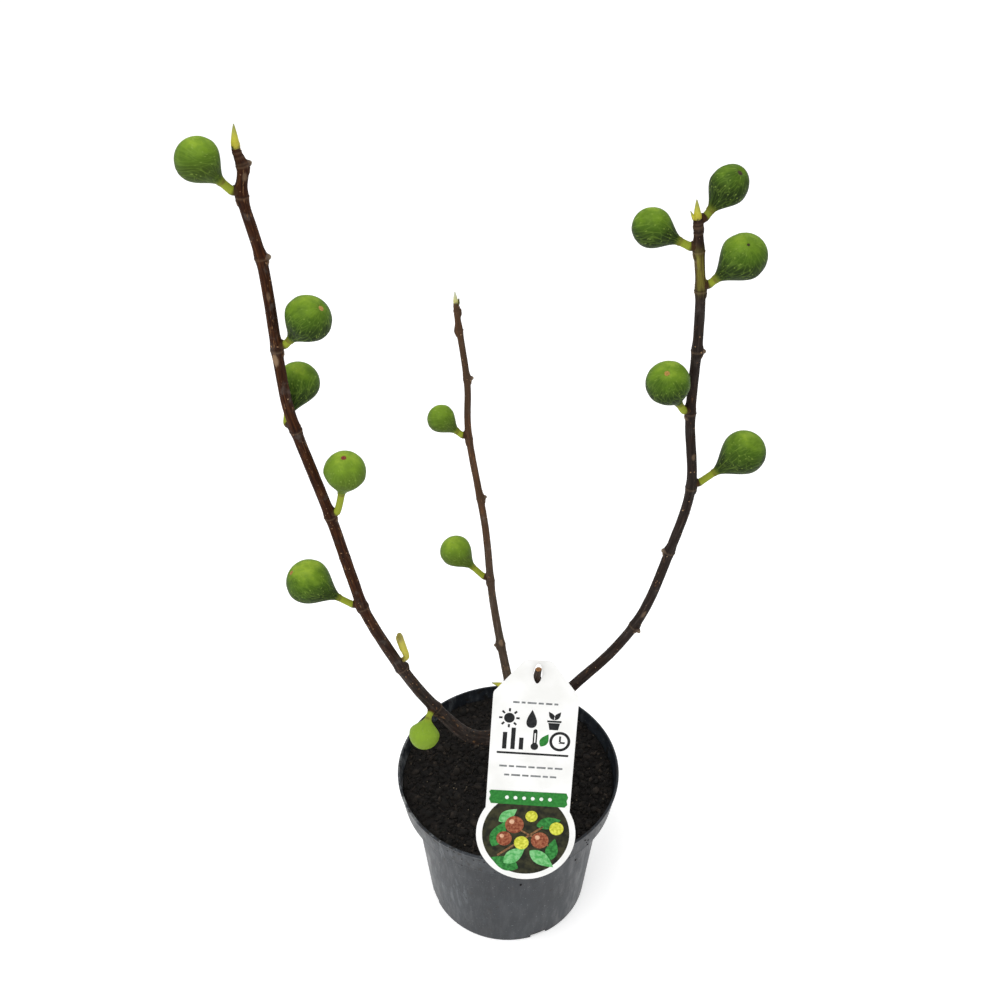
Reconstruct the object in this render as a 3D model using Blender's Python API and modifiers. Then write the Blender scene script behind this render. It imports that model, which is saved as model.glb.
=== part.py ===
"""Fig tree in a nursery pot, in spring, before its leaves open.

Three brown stems rise from one short trunk that stands on the compost of a
round plastic pot. Thirteen green figs sit on their stalks along the stems,
each stem ends in a pointed bud, and a blank white tag hangs in front on the
stub of a pruned leader.

All sizes below are millimetres. The origin is the centre of the pot's
underside, +Z is up, and the tag hangs on the -Y side.
"""

import math

import bmesh
import bpy
from mathutils import Matrix, Vector

MM = 0.001
CLEAR = 0.3
UP = Vector((0.0, 0.0, 1.0))
X_AXIS = Vector((1.0, 0.0, 0.0))

# Pot: one moulded wall with a stepped-out collar and notches at its foot
POT_STEPS = 64
POT_HIGH = 153.5
POT_RIM_RADIUS = 95.0
POT_COLLAR_HIGH = 25.1
POT_COLLAR_FOOT_RADIUS = 91.4
POT_WALL_TOP_RADIUS = 82.6
POT_FOOT_RADIUS = 71.4
POT_WALL_THICK = 1.5
POT_FLOOR_THICK = 2.0
POT_LIP_ROUND = 1.2
POT_FOOT_ROUND = 1.6
POT_STEP_ROUND = 0.7
POT_LIP_INSET = 0.4
NOTCH_COUNT = 4
NOTCH_START = -67.5
NOTCH_WIDE = 15.0
NOTCH_HIGH = 6.0
NOTCH_DEEP = 8.0
NOTCH_ROUND = 1.4

# Compost: fills the pot to a little under the rim
COMPOST_TOP = 140.0
COMPOST_EDGE = 1.4

# Trunk: a flared foot that forks just above the compost, and the leader that runs on from it
TRUNK_FOOT = Vector((14.0, 4.0, COMPOST_TOP + CLEAR))
TRUNK_FORK = Vector((16.0, 2.0, 200.0))
TRUNK_FLARE_THICK = 27.0
TRUNK_WAIST_THICK = 18.5
TRUNK_FORK_THICK = 17.0
TRUNK_FLARE_HIGH = 13.0
TRUNK_RINGS = [0.0, 2.5, 6.0, 11.0, 18.0, 30.0, 45.0, 60.0, 72.0, 81.0]
COLLAR_LONG = 19.0

# Leader: pruned, and thin enough at its end to carry the tag
LEADER_FOOT = Vector((18.0, -4.5, 229.0))
LEADER_END = Vector((22.5, -31.2, 307.5))
LEADER_FOOT_THICK = 8.6
LEADER_END_THICK = 5.0
LEADER_STEPS = 8

# Buds, stalks and figs
RING_SPACE = 13.0
END_RING = 0.8
NODE_SWELL = 0.14
NODE_REACH = 4.0
BUD_LEAN = 0.05
FIG_STALK_THICK = 4.8
FIG_STALK_START = 1.6
FIG_STALK_BEND = 2.6
FIG_FOOT_RISE = 3.5
FIG_ROUND_SHARE = 0.45
FIG_NECK_SHARE = 0.82
FIG_RINGS = 11
PETIOLE_LONG = 24.0
PETIOLE_THICK = 6.2
PETIOLE_LEAN = 5.0
PETIOLE_KNEE = 3.0

# Tag: a straight strip with sloped shoulders above and a round end below
TAG_THICK = 0.8
TAG_WIDE = 66.5
TAG_ROUND_RADIUS = 39.5
TAG_SHOULDER = 117.0
TAG_SHOULDER_ROUND = 6.0
TAG_SHOULDER_TURN = 54.0
TAG_TOP = 147.0
TAG_TOP_ROUND = 8.0
TAG_TOP_FLAT = 14.0
TAG_SLOT_CENTRE = 136.0
TAG_SLOT_LONG = 16.5
TAG_SLOT_WIDE = 6.8
TAG_LEAN = math.radians(65.0)
TAG_ROLL = math.radians(3.7)
TAG_ROUND_X = 13.4
TAG_ROUND_RISE = 25.0
TAG_RIM_CLEAR = 0.75


def polar(bearing, reach=1.0):
    """A level vector of a given length, its bearing in degrees from +X."""
    turn = math.radians(bearing)
    return Vector((math.cos(turn) * reach, math.sin(turn) * reach, 0.0))


def smooth_through(points, per_span=8):
    """Points on a smooth curve that passes through all the given ones."""
    padded = [points[0] * 2 - points[1], *points, points[-1] * 2 - points[-2]]
    found = []
    for before, start, end, after in zip(padded, padded[1:], padded[2:], padded[3:]):
        for step in range(per_span):
            t = step / per_span
            found.append(
                0.5
                * (
                    start * 2
                    + (end - before) * t
                    + (before * 2 - start * 5 + end * 4 - after) * t**2
                    + (start * 3 - before - end * 3 + after) * t**3
                )
            )
    found.append(points[-1].copy())
    return found


class Route:
    """A smooth line in space that is read by the distance along it."""

    def __init__(self, points):
        self.points = smooth_through(points)
        self.marks = [0.0]
        for start, end in zip(self.points, self.points[1:]):
            self.marks.append(self.marks[-1] + (end - start).length)
        self.long = self.marks[-1]

    def at(self, along):
        along = min(max(along, 0.0), self.long)
        for index in range(1, len(self.marks)):
            if along <= self.marks[index]:
                break
        span = self.marks[index] - self.marks[index - 1]
        share = (along - self.marks[index - 1]) / span
        return self.points[index - 1].lerp(self.points[index], share)

    def heading(self, along):
        return (self.at(along + 1.0) - self.at(along - 1.0)).normalized()

    def along_at_height(self, height):
        """How far along the route it last passes a height on its way up."""
        for index in range(len(self.points) - 1, 0, -1):
            low, high = self.points[index - 1].z, self.points[index].z
            if low <= height <= high:
                share = (height - low) / (high - low)
                return self.marks[index - 1] + share * (self.marks[index] - self.marks[index - 1])
        raise ValueError("the route does not reach that height")


class Stem:
    """One stem: its course lies in an upright plane through the trunk's foot."""

    def __init__(self, name, bearing, course, thick, flare, tip_thick, bud_long, split_at, nodes):
        self.name = name
        self.bearing = bearing
        self.thick = thick
        self.flare = flare
        self.tip_thick = tip_thick
        self.bud_long = bud_long
        foot = Vector((TRUNK_FOOT.x, TRUNK_FOOT.y, 0.0))
        start = TRUNK_FORK - polar(bearing, 1.0) + UP * (course[0][1] - TRUNK_FORK.z)
        points = [foot + polar(bearing, out) + UP * height for out, height in course[1:]]
        self.route = Route([start, *points])
        self.nodes = [self.route.along_at_height(height) for height in nodes]
        self.split = self.route.along_at_height(split_at)
        self.wood_end = self.route.long - bud_long

    def radius(self, along):
        """Taper from foot to tip, a flare at the fork and a swelling at each node."""
        share = min(along / self.wood_end, 1.0)
        radius = (self.thick + (self.tip_thick - self.thick) * share) / 2
        radius += self.flare / 2 * math.exp(-along / 55.0)
        for node in self.nodes:
            radius *= 1.0 + NODE_SWELL * math.exp(-(((along - node) / NODE_REACH) ** 2))
        return radius

    def rings(self, start, end):
        """Rings at both ends, on each node and beside it, and at even steps between.

        The ring just inside each end keeps the cut faces of two neighbours parallel.
        """
        marks = [start, start + END_RING, end - END_RING, end]
        for node in self.nodes:
            for mark in (node, node - NODE_REACH * 1.4, node + NODE_REACH * 1.4):
                if start < mark < end and min(abs(mark - other) for other in marks) > 2.5:
                    marks.append(mark)
        count = max(2, round((end - start) / RING_SPACE))
        for step in range(1, count):
            mark = start + (end - start) * step / count
            if min(abs(mark - other) for other in marks) > RING_SPACE * 0.4:
                marks.append(mark)
        return sorted(marks)

    def outward(self, along, bearing):
        """The direction square to the stem that points nearest to a bearing."""
        heading = self.route.heading(along)
        side = polar(bearing)
        return (side - heading * side.dot(heading)).normalized()


# Stems: bearing in degrees, then the course as (distance out from the trunk's foot, height)
LEFT = Stem(
    "left_stem",
    195.0,
    [
        (0, 199),
        (31, 196),
        (50, 206),
        (70, 236),
        (95, 285),
        (122, 356),
        (131, 398),
        (142, 460),
        (158, 536),
        (162, 575),
        (164, 648),
        (170, 691),
        (168, 709),
        (170, 722),
        (169.5, 735),
    ],
    thick=9.3,
    flare=6.4,
    tip_thick=6.3,
    bud_long=13.0,
    split_at=370.0,
    nodes=[246, 299, 370, 459, 533, 594, 656, 694, 712],
)
MIDDLE = Stem(
    "middle_stem",
    118.0,
    [(0, 199), (12, 206), (30, 230), (57, 298), (70, 368), (96, 439), (97, 487), (111, 536), (114, 556)],
    thick=6.6,
    flare=3.0,
    tip_thick=4.7,
    bud_long=9.0,
    split_at=391.0,
    nodes=[226, 260, 317, 391, 437, 491, 527, 541],
)
RIGHT = Stem(
    "right_stem",
    -12.0,
    [
        (0, 202),
        (16, 220),
        (40, 261),
        (69, 307),
        (89, 353),
        (103, 415),
        (112, 472),
        (106, 530),
        (105, 590),
        (103, 623),
        (98, 660),
        (95, 681),
    ],
    thick=7.8,
    flare=3.8,
    tip_thick=6.2,
    bud_long=12.0,
    split_at=414.0,
    nodes=[336, 414, 473, 534, 581, 623, 649, 665],
)
STEMS = [LEFT, MIDDLE, RIGHT]


class Fig:
    """One fig: bearing, reach and rise say where its middle is from its node.

    Its stalk leaves the stem at the same bearing, or else at the foot bearing.
    """

    def __init__(self, stem, node, bearing, reach, rise, thick, long, foot_bearing=None):
        self.stem = stem
        self.along = stem.nodes[node]
        self.bearing = bearing
        self.foot_bearing = bearing if foot_bearing is None else foot_bearing
        self.reach = reach
        self.rise = rise
        self.thick = thick
        self.long = long

    def route(self):
        """From the stem's bark, square to it, then in a bend through the fig's middle."""
        above = self.along + FIG_FOOT_RISE
        side = self.stem.outward(above, self.foot_bearing)
        bark = self.stem.radius(above) + CLEAR
        foot = self.stem.route.at(above) + side * bark
        middle = self.stem.route.at(self.along) + polar(self.bearing, self.reach) + UP * self.rise
        start = foot + side * FIG_STALK_START
        bend = start + side * FIG_STALK_BEND + self.stem.route.heading(above) * FIG_STALK_START
        points = [foot]
        for step in range(7):
            t = step / 6
            points.append(start * (1 - t) ** 2 + bend * 2 * t * (1 - t) + middle * t**2)
        onward = (middle - bend).normalized()
        points.append(middle + onward * self.long * 0.25)
        points.append(middle + onward * self.long * FIG_ROUND_SHARE)
        return Route(points)

    def neck_long(self, route_long):
        """From the widest place to where the stalk starts, with some stalk left bare."""
        bare = route_long - self.long * FIG_ROUND_SHARE - FIG_STALK_THICK * 1.2
        return min(self.thick * FIG_NECK_SHARE, bare)

    def radius(self, from_eye, route_long):
        """Pear-shaped: a round end at the eye, and a neck that narrows to the stalk."""
        widest = self.thick / 2
        stalk = FIG_STALK_THICK / 2
        round_long = self.long * FIG_ROUND_SHARE
        if from_eye < round_long:
            return widest * math.sqrt(max(0.0, 1 - ((round_long - from_eye) / round_long) ** 2))
        share = min((from_eye - round_long) / self.neck_long(route_long), 1.0)
        return stalk + (widest - stalk) * math.cos(math.pi / 2 * share) ** 1.7


FIGS = {
    "fig_left_1": Fig(LEFT, 7, 199, 20.8, 23.5, 25.5, 28.0),
    "fig_left_2": Fig(LEFT, 5, -6, 21.5, 22.0, 29.0, 32.0),
    "fig_left_3": Fig(LEFT, 4, 85, 19.6, 23.5, 27.5, 30.0, foot_bearing=118),
    "fig_left_4": Fig(LEFT, 3, -15, 14.2, 40.0, 28.0, 32.0),
    "fig_left_5": Fig(LEFT, 2, 180, 37.0, 24.5, 32.5, 35.0),
    "fig_left_6": Fig(LEFT, 0, 247, 20.5, -9.5, 24.5, 28.0),
    "fig_middle_1": Fig(MIDDLE, 4, 180, 21.3, 19.0, 21.5, 22.5),
    "fig_middle_2": Fig(MIDDLE, 2, 168, 28.7, 26.5, 25.5, 27.0),
    "fig_right_1": Fig(RIGHT, 7, 27, 18.2, 20.0, 23.0, 31.0),
    "fig_right_2": Fig(RIGHT, 6, 180, 29.0, 14.7, 23.8, 27.0),
    "fig_right_3": Fig(RIGHT, 5, 0, 23.2, 22.0, 28.5, 33.0),
    "fig_right_4": Fig(RIGHT, 3, 212, 21.8, 30.0, 28.5, 31.0),
    "fig_right_5": Fig(RIGHT, 2, 7, 33.5, 26.4, 30.0, 33.5),
}

# Side buds on nodes that bear no fig: stem, node, bearing, length and thickness
SIDE_BUDS = {
    "left_bud_1": (LEFT, 6, -10, 2.8, 4.6),
    "left_bud_2": (LEFT, 8, 15, 2.3, 4.4),
    "middle_bud_1": (MIDDLE, 0, 178, 10.0, 6.6),
    "middle_bud_2": (MIDDLE, 1, 190, 2.2, 3.8),
    "middle_bud_3": (MIDDLE, 3, 0, 2.4, 4.0),
    "middle_bud_4": (MIDDLE, 5, -10, 2.6, 4.2),
    "right_bud_1": (RIGHT, 0, -60, 3.8, 3.8),
    "right_bud_2": (RIGHT, 1, 190, 2.6, 4.4),
    "right_bud_3": (RIGHT, 4, -20, 2.3, 4.0),
}


def linear_colour(hex_code):
    """An sRGB hex colour as the linear RGBA that a shader takes."""
    channels = [int(hex_code[index : index + 2], 16) / 255 for index in (0, 2, 4)]
    return [c / 12.92 if c <= 0.04045 else ((c + 0.055) / 1.055) ** 2.4 for c in channels] + [1.0]


def finish(name, hex_code, roughness):
    """A material of one colour and roughness, none of them metal."""
    material = bpy.data.materials.new(name)
    material.use_nodes = True
    shader = material.node_tree.nodes["Principled BSDF"]
    shader.inputs["Base Color"].default_value = linear_colour(hex_code)
    shader.inputs["Roughness"].default_value = roughness
    shader.inputs["Metallic"].default_value = 0.0
    return material


def clear_scene():
    for item in list(bpy.data.objects):
        bpy.data.objects.remove(item, do_unlink=True)


def collection(name):
    made = bpy.data.collections.new(name)
    bpy.context.scene.collection.children.link(made)
    return made


def add_object(name, data, group, material=None):
    item = bpy.data.objects.new(name, data)
    group.objects.link(item)
    if material:
        data.materials.append(material)
    return item


def shade_round(mesh, sharpest=40.0):
    mesh.shade_smooth()
    mesh.set_sharp_from_angle(angle=math.radians(sharpest))


def curve_to_mesh(curve_object, name, group, material=None):
    """Turns a curve into a closed mesh with its caps welded on."""
    depsgraph = bpy.context.evaluated_depsgraph_get()
    mesh = bpy.data.meshes.new_from_object(curve_object.evaluated_get(depsgraph))
    place = curve_object.matrix_world.copy()
    bpy.data.objects.remove(curve_object, do_unlink=True)
    work = bmesh.new()
    work.from_mesh(mesh)
    bmesh.ops.remove_doubles(work, verts=work.verts, dist=1e-6)
    bmesh.ops.recalc_face_normals(work, faces=work.faces)
    work.to_mesh(mesh)
    work.free()
    mesh.materials.clear()
    shade_round(mesh)
    item = add_object(name, mesh, group, material)
    item.matrix_world = place
    return item


def tapered_limb(name, points, radii, group, material=None, resolution=3):
    """A round limb through points, with its own radius at each of them."""
    data = bpy.data.curves.new(name, "CURVE")
    data.dimensions = "3D"
    data.bevel_depth = MM
    data.bevel_resolution = resolution
    data.use_fill_caps = True
    spline = data.splines.new("POLY")
    spline.points.add(len(points) - 1)
    for target, point, radius in zip(spline.points, points, radii):
        target.co = (*(point * MM), 1.0)
        target.radius = radius
    item = add_object(name + "_line", data, group)
    return curve_to_mesh(item, name, group, material)


def join(item, tool, operation):
    """Adds or cuts away a hidden tool object, by an exact Boolean."""
    tool.hide_render = True
    tool.display_type = "WIRE"
    modifier = item.modifiers.new(tool.name, "BOOLEAN")
    modifier.operation = operation
    modifier.solver = "EXACT"
    modifier.object = tool


def turned(name, profile, group, material):
    """Turns an outline of (radius, height) points, which starts and ends on the axis."""
    mesh = bpy.data.meshes.new(name)
    work = bmesh.new()
    corners = [work.verts.new((radius * MM, 0.0, height * MM)) for radius, height in profile]
    for start, end in zip(corners, corners[1:]):
        work.edges.new((start, end))
    work.to_mesh(mesh)
    work.free()
    item = add_object(name, mesh, group, material)
    screw = item.modifiers.new("turn", "SCREW")
    screw.axis = "Z"
    screw.steps = POT_STEPS
    screw.render_steps = POT_STEPS
    screw.use_merge_vertices = True
    screw.merge_threshold = 1e-5
    screw.use_normal_calculate = True
    screw.use_smooth_shade = True
    return item


def arc(centre_x, centre_y, radius, start, end, steps):
    """Points on an arc, its angles in degrees."""
    points = []
    for step in range(steps + 1):
        turn = math.radians(start + (end - start) * step / steps)
        points.append((centre_x + radius * math.cos(turn), centre_y + radius * math.sin(turn)))
    return points


def pot_inside():
    """The inner outline from the floor's centre to the lip, as (radius, height)."""
    shoulder = POT_HIGH - POT_COLLAR_HIGH
    thick = POT_WALL_THICK
    return [
        (0.0, POT_FLOOR_THICK),
        (POT_FOOT_RADIUS - thick, POT_FLOOR_THICK),
        (POT_WALL_TOP_RADIUS - thick, shoulder),
        (POT_COLLAR_FOOT_RADIUS - thick, shoulder + thick),
        (POT_RIM_RADIUS - thick - POT_LIP_INSET, POT_HIGH - POT_LIP_ROUND),
    ]


def build_pot(group, tools):
    shoulder = POT_HIGH - POT_COLLAR_HIGH
    lip = arc(POT_RIM_RADIUS - POT_LIP_ROUND, POT_HIGH - POT_LIP_ROUND, POT_LIP_ROUND, 100, 0, 4)
    foot = arc(POT_FOOT_RADIUS - POT_FOOT_ROUND, POT_FOOT_ROUND, POT_FOOT_ROUND, 0, -90, 3)
    step, under = POT_STEP_ROUND, shoulder - POT_WALL_THICK
    outside = [(POT_COLLAR_FOOT_RADIUS, shoulder + step), (POT_COLLAR_FOOT_RADIUS - step, shoulder)]
    outside += [(POT_WALL_TOP_RADIUS + step, under), (POT_WALL_TOP_RADIUS, under - step * 2)]
    profile = pot_inside() + lip + outside + foot + [(0.0, 0.0)]
    pot = turned("pot", profile, group, finish("moulded_grey_plastic", "53575b", 0.55))
    for index in range(NOTCH_COUNT):
        bearing = NOTCH_START + 360.0 * index / NOTCH_COUNT
        mesh = bpy.data.meshes.new("foot_notch")
        work = bmesh.new()
        bmesh.ops.create_cube(work, size=1.0)
        size = Vector((NOTCH_DEEP * 2, NOTCH_WIDE, NOTCH_HIGH * 2)) * MM
        bmesh.ops.scale(work, vec=size, verts=work.verts)
        bmesh.ops.bevel(work, geom=work.edges[:], offset=NOTCH_ROUND * MM, segments=1, affect="EDGES")
        work.to_mesh(mesh)
        work.free()
        cutter = add_object(f"foot_notch_{index + 1}", mesh, tools)
        cutter.location = polar(bearing, POT_FOOT_RADIUS) * MM
        cutter.rotation_euler.z = math.radians(bearing)
        join(pot, cutter, "DIFFERENCE")
    return pot


def build_compost(group):
    """A plug of compost that follows the inside of the pot, with a level top."""
    inside = pot_inside()
    slope = (inside[4][0] - inside[3][0]) / (inside[4][1] - inside[3][1])
    top_radius = inside[3][0] + slope * (COMPOST_TOP - inside[3][1]) - CLEAR
    profile = [
        (0.0, COMPOST_TOP),
        (top_radius - COMPOST_EDGE, COMPOST_TOP),
        (top_radius, COMPOST_TOP - COMPOST_EDGE),
        (inside[3][0] - CLEAR, inside[3][1] + CLEAR),
        (inside[2][0] - CLEAR, inside[2][1] + CLEAR),
        (inside[1][0] - CLEAR, POT_FLOOR_THICK + CLEAR),
        (0.0, POT_FLOOR_THICK + CLEAR),
    ]
    return turned("compost", profile, group, finish("peat_compost", "2b211a", 0.95))


def limb_between(name, stem, start, end, group, material=None):
    marks = stem.rings(start, end)
    points = [stem.route.at(mark) for mark in marks]
    return tapered_limb(name, points, [stem.radius(mark) for mark in marks], group, material)


def trunk_route():
    """From the level foot through the fork to the leader's end, in one smooth line."""
    upright = TRUNK_FOOT + UP * 16.0
    middle = LEADER_FOOT.lerp(LEADER_END, 0.5) + UP * 3.0
    return Route([TRUNK_FOOT, upright, TRUNK_FORK, LEADER_FOOT, middle, LEADER_END])


def trunk_radius(height):
    """Root flare, waist, fork and then the leader's slow taper, read by height."""
    waist = (TRUNK_FOOT.z, TRUNK_WAIST_THICK)
    fork = (TRUNK_FORK.z, TRUNK_FORK_THICK)
    leader = (LEADER_FOOT.z, LEADER_FOOT_THICK)
    end = (LEADER_END.z, LEADER_END_THICK)
    thick = LEADER_END_THICK
    for (low, low_thick), (high, high_thick) in ((waist, fork), (fork, leader), (leader, end)):
        if low <= height <= high:
            thick = low_thick + (high_thick - low_thick) * (height - low) / (high - low)
    flare = (TRUNK_FLARE_THICK - TRUNK_WAIST_THICK) * math.exp(-(height - TRUNK_FOOT.z) / TRUNK_FLARE_HIGH)
    return (thick + flare) / 2


def build_trunk_and_leader(group, tools, bark):
    """The foot with the short collars of the three stems, and the pruned leader on top."""
    route = trunk_route()
    parting = route.along_at_height(LEADER_FOOT.z)
    foot_marks = TRUNK_RINGS + [parting - CLEAR / 2 - END_RING, parting - CLEAR / 2]
    leader_start = parting + CLEAR / 2
    leader_marks = [leader_start, leader_start + END_RING]
    for step in range(1, LEADER_STEPS + 1):
        leader_marks.append(leader_start + (route.long - leader_start) * step / LEADER_STEPS)
    items = []
    for name, marks in (("trunk", foot_marks), ("cut_leader", leader_marks)):
        points = [route.at(mark) for mark in marks]
        radii = [trunk_radius(point.z) for point in points]
        items.append(tapered_limb(name, points, radii, group, bark, resolution=4))
    for stem in STEMS:
        collar = limb_between(stem.name + "_collar", stem, 0.0, COLLAR_LONG, tools)
        join(items[0], collar, "UNION")
    return items


def build_stems(group, bark):
    """Each stem is parted at a node, so that both its pieces are nearly straight."""
    for stem in STEMS:
        half = CLEAR / 2
        limb_between(stem.name + "_lower", stem, COLLAR_LONG + CLEAR, stem.split - half, group, bark)
        limb_between(stem.name + "_upper", stem, stem.split + half, stem.wood_end, group, bark)


def pointed_bud(name, foot, heading, long, thick, group, material):
    """A closed bud: widest near its foot and pointed at its tip."""
    shares = [0.0, 0.12, 0.3, 0.5, 0.7, 0.86, 1.0]
    swell = [0.42, 0.5, 0.5, 0.42, 0.29, 0.15, 0.05]
    points = [foot + heading * long * share for share in shares]
    return tapered_limb(name, points, [thick * part for part in swell], group, material, 2)


def build_buds(group):
    scales = finish("bud_scales", "a9a53a", 0.5)
    for stem in STEMS:
        start = stem.wood_end + CLEAR * 2
        heading = stem.route.heading(stem.route.long - 1.0)
        foot = stem.route.at(start)
        long = stem.bud_long - CLEAR * 2
        pointed_bud(stem.name + "_tip_bud", foot, heading, long, stem.tip_thick * 0.96, group, scales)
    for name, (stem, node, bearing, long, thick) in SIDE_BUDS.items():
        along = stem.nodes[node]
        side = stem.outward(along, bearing)
        lean = long * BUD_LEAN
        foot = stem.route.at(along) + side * (stem.radius(along) + CLEAR + thick * lean * 0.44)
        heading = (side + stem.route.heading(along) * lean).normalized()
        pointed_bud(name, foot, heading, long, thick, group, scales)


def build_petiole(group):
    """The stub that is left of one cut leaf stalk, low on the left stem."""
    along = LEFT.nodes[1] + 6.0
    side = LEFT.outward(along, 20)
    foot = LEFT.route.at(along) + side * (LEFT.radius(along) + CLEAR)
    knee = foot + side * PETIOLE_KNEE + UP * 2.0
    end = knee - X_AXIS * PETIOLE_LEAN + UP * PETIOLE_LONG
    points = smooth_through([foot, knee, knee.lerp(end, 0.4), end], 3)
    last = len(points) - 1
    radii = [PETIOLE_THICK / 2 * (0.62 + 0.38 * min(1.0, index / last * 2)) for index in range(last + 1)]
    return tapered_limb("petiole_stub", points, radii, group, finish("leaf_stalk", "c0b93f", 0.55), 2)


def build_figs(group):
    skin = finish("fig_skin", "5f8d23", 0.42)
    for name, fig in FIGS.items():
        route = fig.route()
        body_long = fig.long * FIG_ROUND_SHARE + fig.neck_long(route.long)
        stalk_long = route.long - body_long
        bare = stalk_long - FIG_STALK_START
        marks = [0.0, FIG_STALK_START, FIG_STALK_START + bare * 0.4, FIG_STALK_START + bare * 0.75]
        for step in range(FIG_RINGS + 1):
            share = math.sin(math.pi / 2 * step / FIG_RINGS)
            marks.append(stalk_long + body_long * share)
        points = [route.at(mark) for mark in marks]
        radii = [max(fig.radius(route.long - mark, route.long), 0.9) for mark in marks]
        tapered_limb(name, points, radii, group, skin)


def tag_outline():
    """The tag's outline round the middle of its round end, as (across, up) points."""
    half = TAG_WIDE / 2
    meet = math.degrees(math.acos(half / TAG_ROUND_RADIUS))
    outline = arc(0.0, 0.0, TAG_ROUND_RADIUS, 180 - meet, 360 + meet, 40)
    side, top, turn = TAG_SHOULDER_ROUND, TAG_TOP_ROUND, TAG_SHOULDER_TURN
    shoulder = arc(half - side, TAG_SHOULDER, side, 0, turn, 3)
    shoulder += arc(TAG_TOP_FLAT / 2, TAG_TOP - top, top, turn, 90, 3)
    return outline + shoulder + [(-x, y) for x, y in reversed(shoulder)]


def tag_slot():
    """A pointed oval, long way up the tag."""
    half_long, half_wide = TAG_SLOT_LONG / 2, TAG_SLOT_WIDE / 2
    points = []
    for step in range(16):
        turn = 2 * math.pi * step / 16
        across = half_wide * math.cos(turn) * abs(math.cos(turn)) ** 0.2
        points.append((across, TAG_SLOT_CENTRE + half_long * math.sin(turn)))
    return points


def build_tag(group):
    """The tag hangs on the leader's stub and leans on the rim of the pot."""
    data = bpy.data.curves.new("tag_outline", "CURVE")
    data.dimensions = "2D"
    data.fill_mode = "BOTH"
    data.extrude = TAG_THICK / 2 * MM
    for outline in (tag_outline(), tag_slot()):
        spline = data.splines.new("POLY")
        spline.points.add(len(outline) - 1)
        spline.use_cyclic_u = True
        for target, (across, up) in zip(spline.points, outline):
            target.co = (across * MM, up * MM, 0.0, 1.0)
    item = add_object("tag_outline", data, group)
    away = Vector((0.0, -math.sin(TAG_LEAN), math.cos(TAG_LEAN)))
    rise = Vector((0.0, math.cos(TAG_LEAN), math.sin(TAG_LEAN)))
    rim = Vector((0.0, -POT_RIM_RADIUS, POT_HIGH - POT_LIP_ROUND))
    middle = rim + away * (TAG_RIM_CLEAR + TAG_THICK / 2) + rise * TAG_ROUND_RISE + X_AXIS * TAG_ROUND_X
    lean = Matrix.Rotation(TAG_LEAN, 4, "X") @ Matrix.Rotation(-TAG_ROLL, 4, "Z")
    item.matrix_world = Matrix.Translation(middle * MM) @ lean
    bpy.context.view_layer.update()
    tag = curve_to_mesh(item, "tag", group, finish("white_plastic_card", "f2f2ee", 0.4))
    tag.data.set_sharp_from_angle(angle=math.radians(30))
    return tag


def main():
    clear_scene()
    group = collection("fig_tree_in_pot")
    tools = collection("cutters_and_unions")
    bark = finish("fig_bark", "4a3226", 0.75)
    build_pot(group, tools)
    build_compost(group)
    build_trunk_and_leader(group, tools, bark)
    build_stems(group, bark)
    build_buds(group)
    build_petiole(group)
    build_figs(group)
    build_tag(group)


main()
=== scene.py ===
"""Looks for a young fig tree in its nursery pot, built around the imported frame.

The limbs, figs and buds follow the same rules and named sizes as the part's source,
written again here and carried to bark relief, scars, lenticels, eyes and crumbs.
Sizes are millimetres until a mesh is made. Meshes and materials are in metres.
"""

import math
from dataclasses import dataclass
from functools import partial

import bmesh
import bpy
import numpy as np
from mathutils import Matrix, Vector, noise


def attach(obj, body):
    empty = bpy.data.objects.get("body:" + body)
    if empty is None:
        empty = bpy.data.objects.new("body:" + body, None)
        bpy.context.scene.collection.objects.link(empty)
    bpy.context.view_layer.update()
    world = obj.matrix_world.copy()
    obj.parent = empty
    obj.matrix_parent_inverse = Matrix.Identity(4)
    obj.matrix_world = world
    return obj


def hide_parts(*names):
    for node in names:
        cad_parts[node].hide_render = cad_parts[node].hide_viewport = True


MM = 0.001
BODY = "root"
UP = np.array((0.0, 0.0, 1.0))
X_AXIS = np.array((1.0, 0.0, 0.0))

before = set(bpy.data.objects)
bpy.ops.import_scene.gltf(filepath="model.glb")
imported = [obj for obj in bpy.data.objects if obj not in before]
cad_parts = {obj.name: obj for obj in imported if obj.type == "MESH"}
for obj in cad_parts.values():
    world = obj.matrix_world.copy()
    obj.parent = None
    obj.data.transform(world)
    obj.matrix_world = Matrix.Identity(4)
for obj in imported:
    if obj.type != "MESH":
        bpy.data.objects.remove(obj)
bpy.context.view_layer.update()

# Pot and compost
POT_STEPS = 192
POT_HIGH = 153.5
POT_RIM_RADIUS = 95.0
POT_COLLAR_HIGH = 25.1
POT_COLLAR_FOOT_RADIUS = 91.4
POT_WALL_TOP_RADIUS = 82.6
POT_FOOT_RADIUS = 71.4
POT_WALL_THICK = 1.5
POT_FLOOR_THICK = 2.0
POT_INNER_ROUND = 2.0
POT_LIP_ROUND = 1.2
POT_FOOT_ROUND = 1.6
NOTCH_COUNT = 4
NOTCH_START = -67.5
NOTCH_WIDE = 15.0
NOTCH_HIGH = 6.0
NOTCH_DEEP = 8.0
NOTCH_ROUND = 1.4

# The thin wall is a little out of round: how far, in how many waves, and their phase
POT_SWAY = ((0.22, 2, 0.8), (0.12, 3, 2.0))
POT_FLOOR_CALM = 60.0
COMPOST_TOP = 140.0
COMPOST_RADIUS = 91.0
COMPOST_RINGS = 80
COMPOST_AROUND = 240

# The compost's side as (radius, height), from its foot up, just inside the pot's wall
COMPOST_SIDE = (
    (70.4, POT_FLOOR_THICK + 0.4),
    (81.6, 128.6),
    (89.4, 130.3),
    (COMPOST_RADIUS - 0.2, COMPOST_TOP - 6.0),
)

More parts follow.
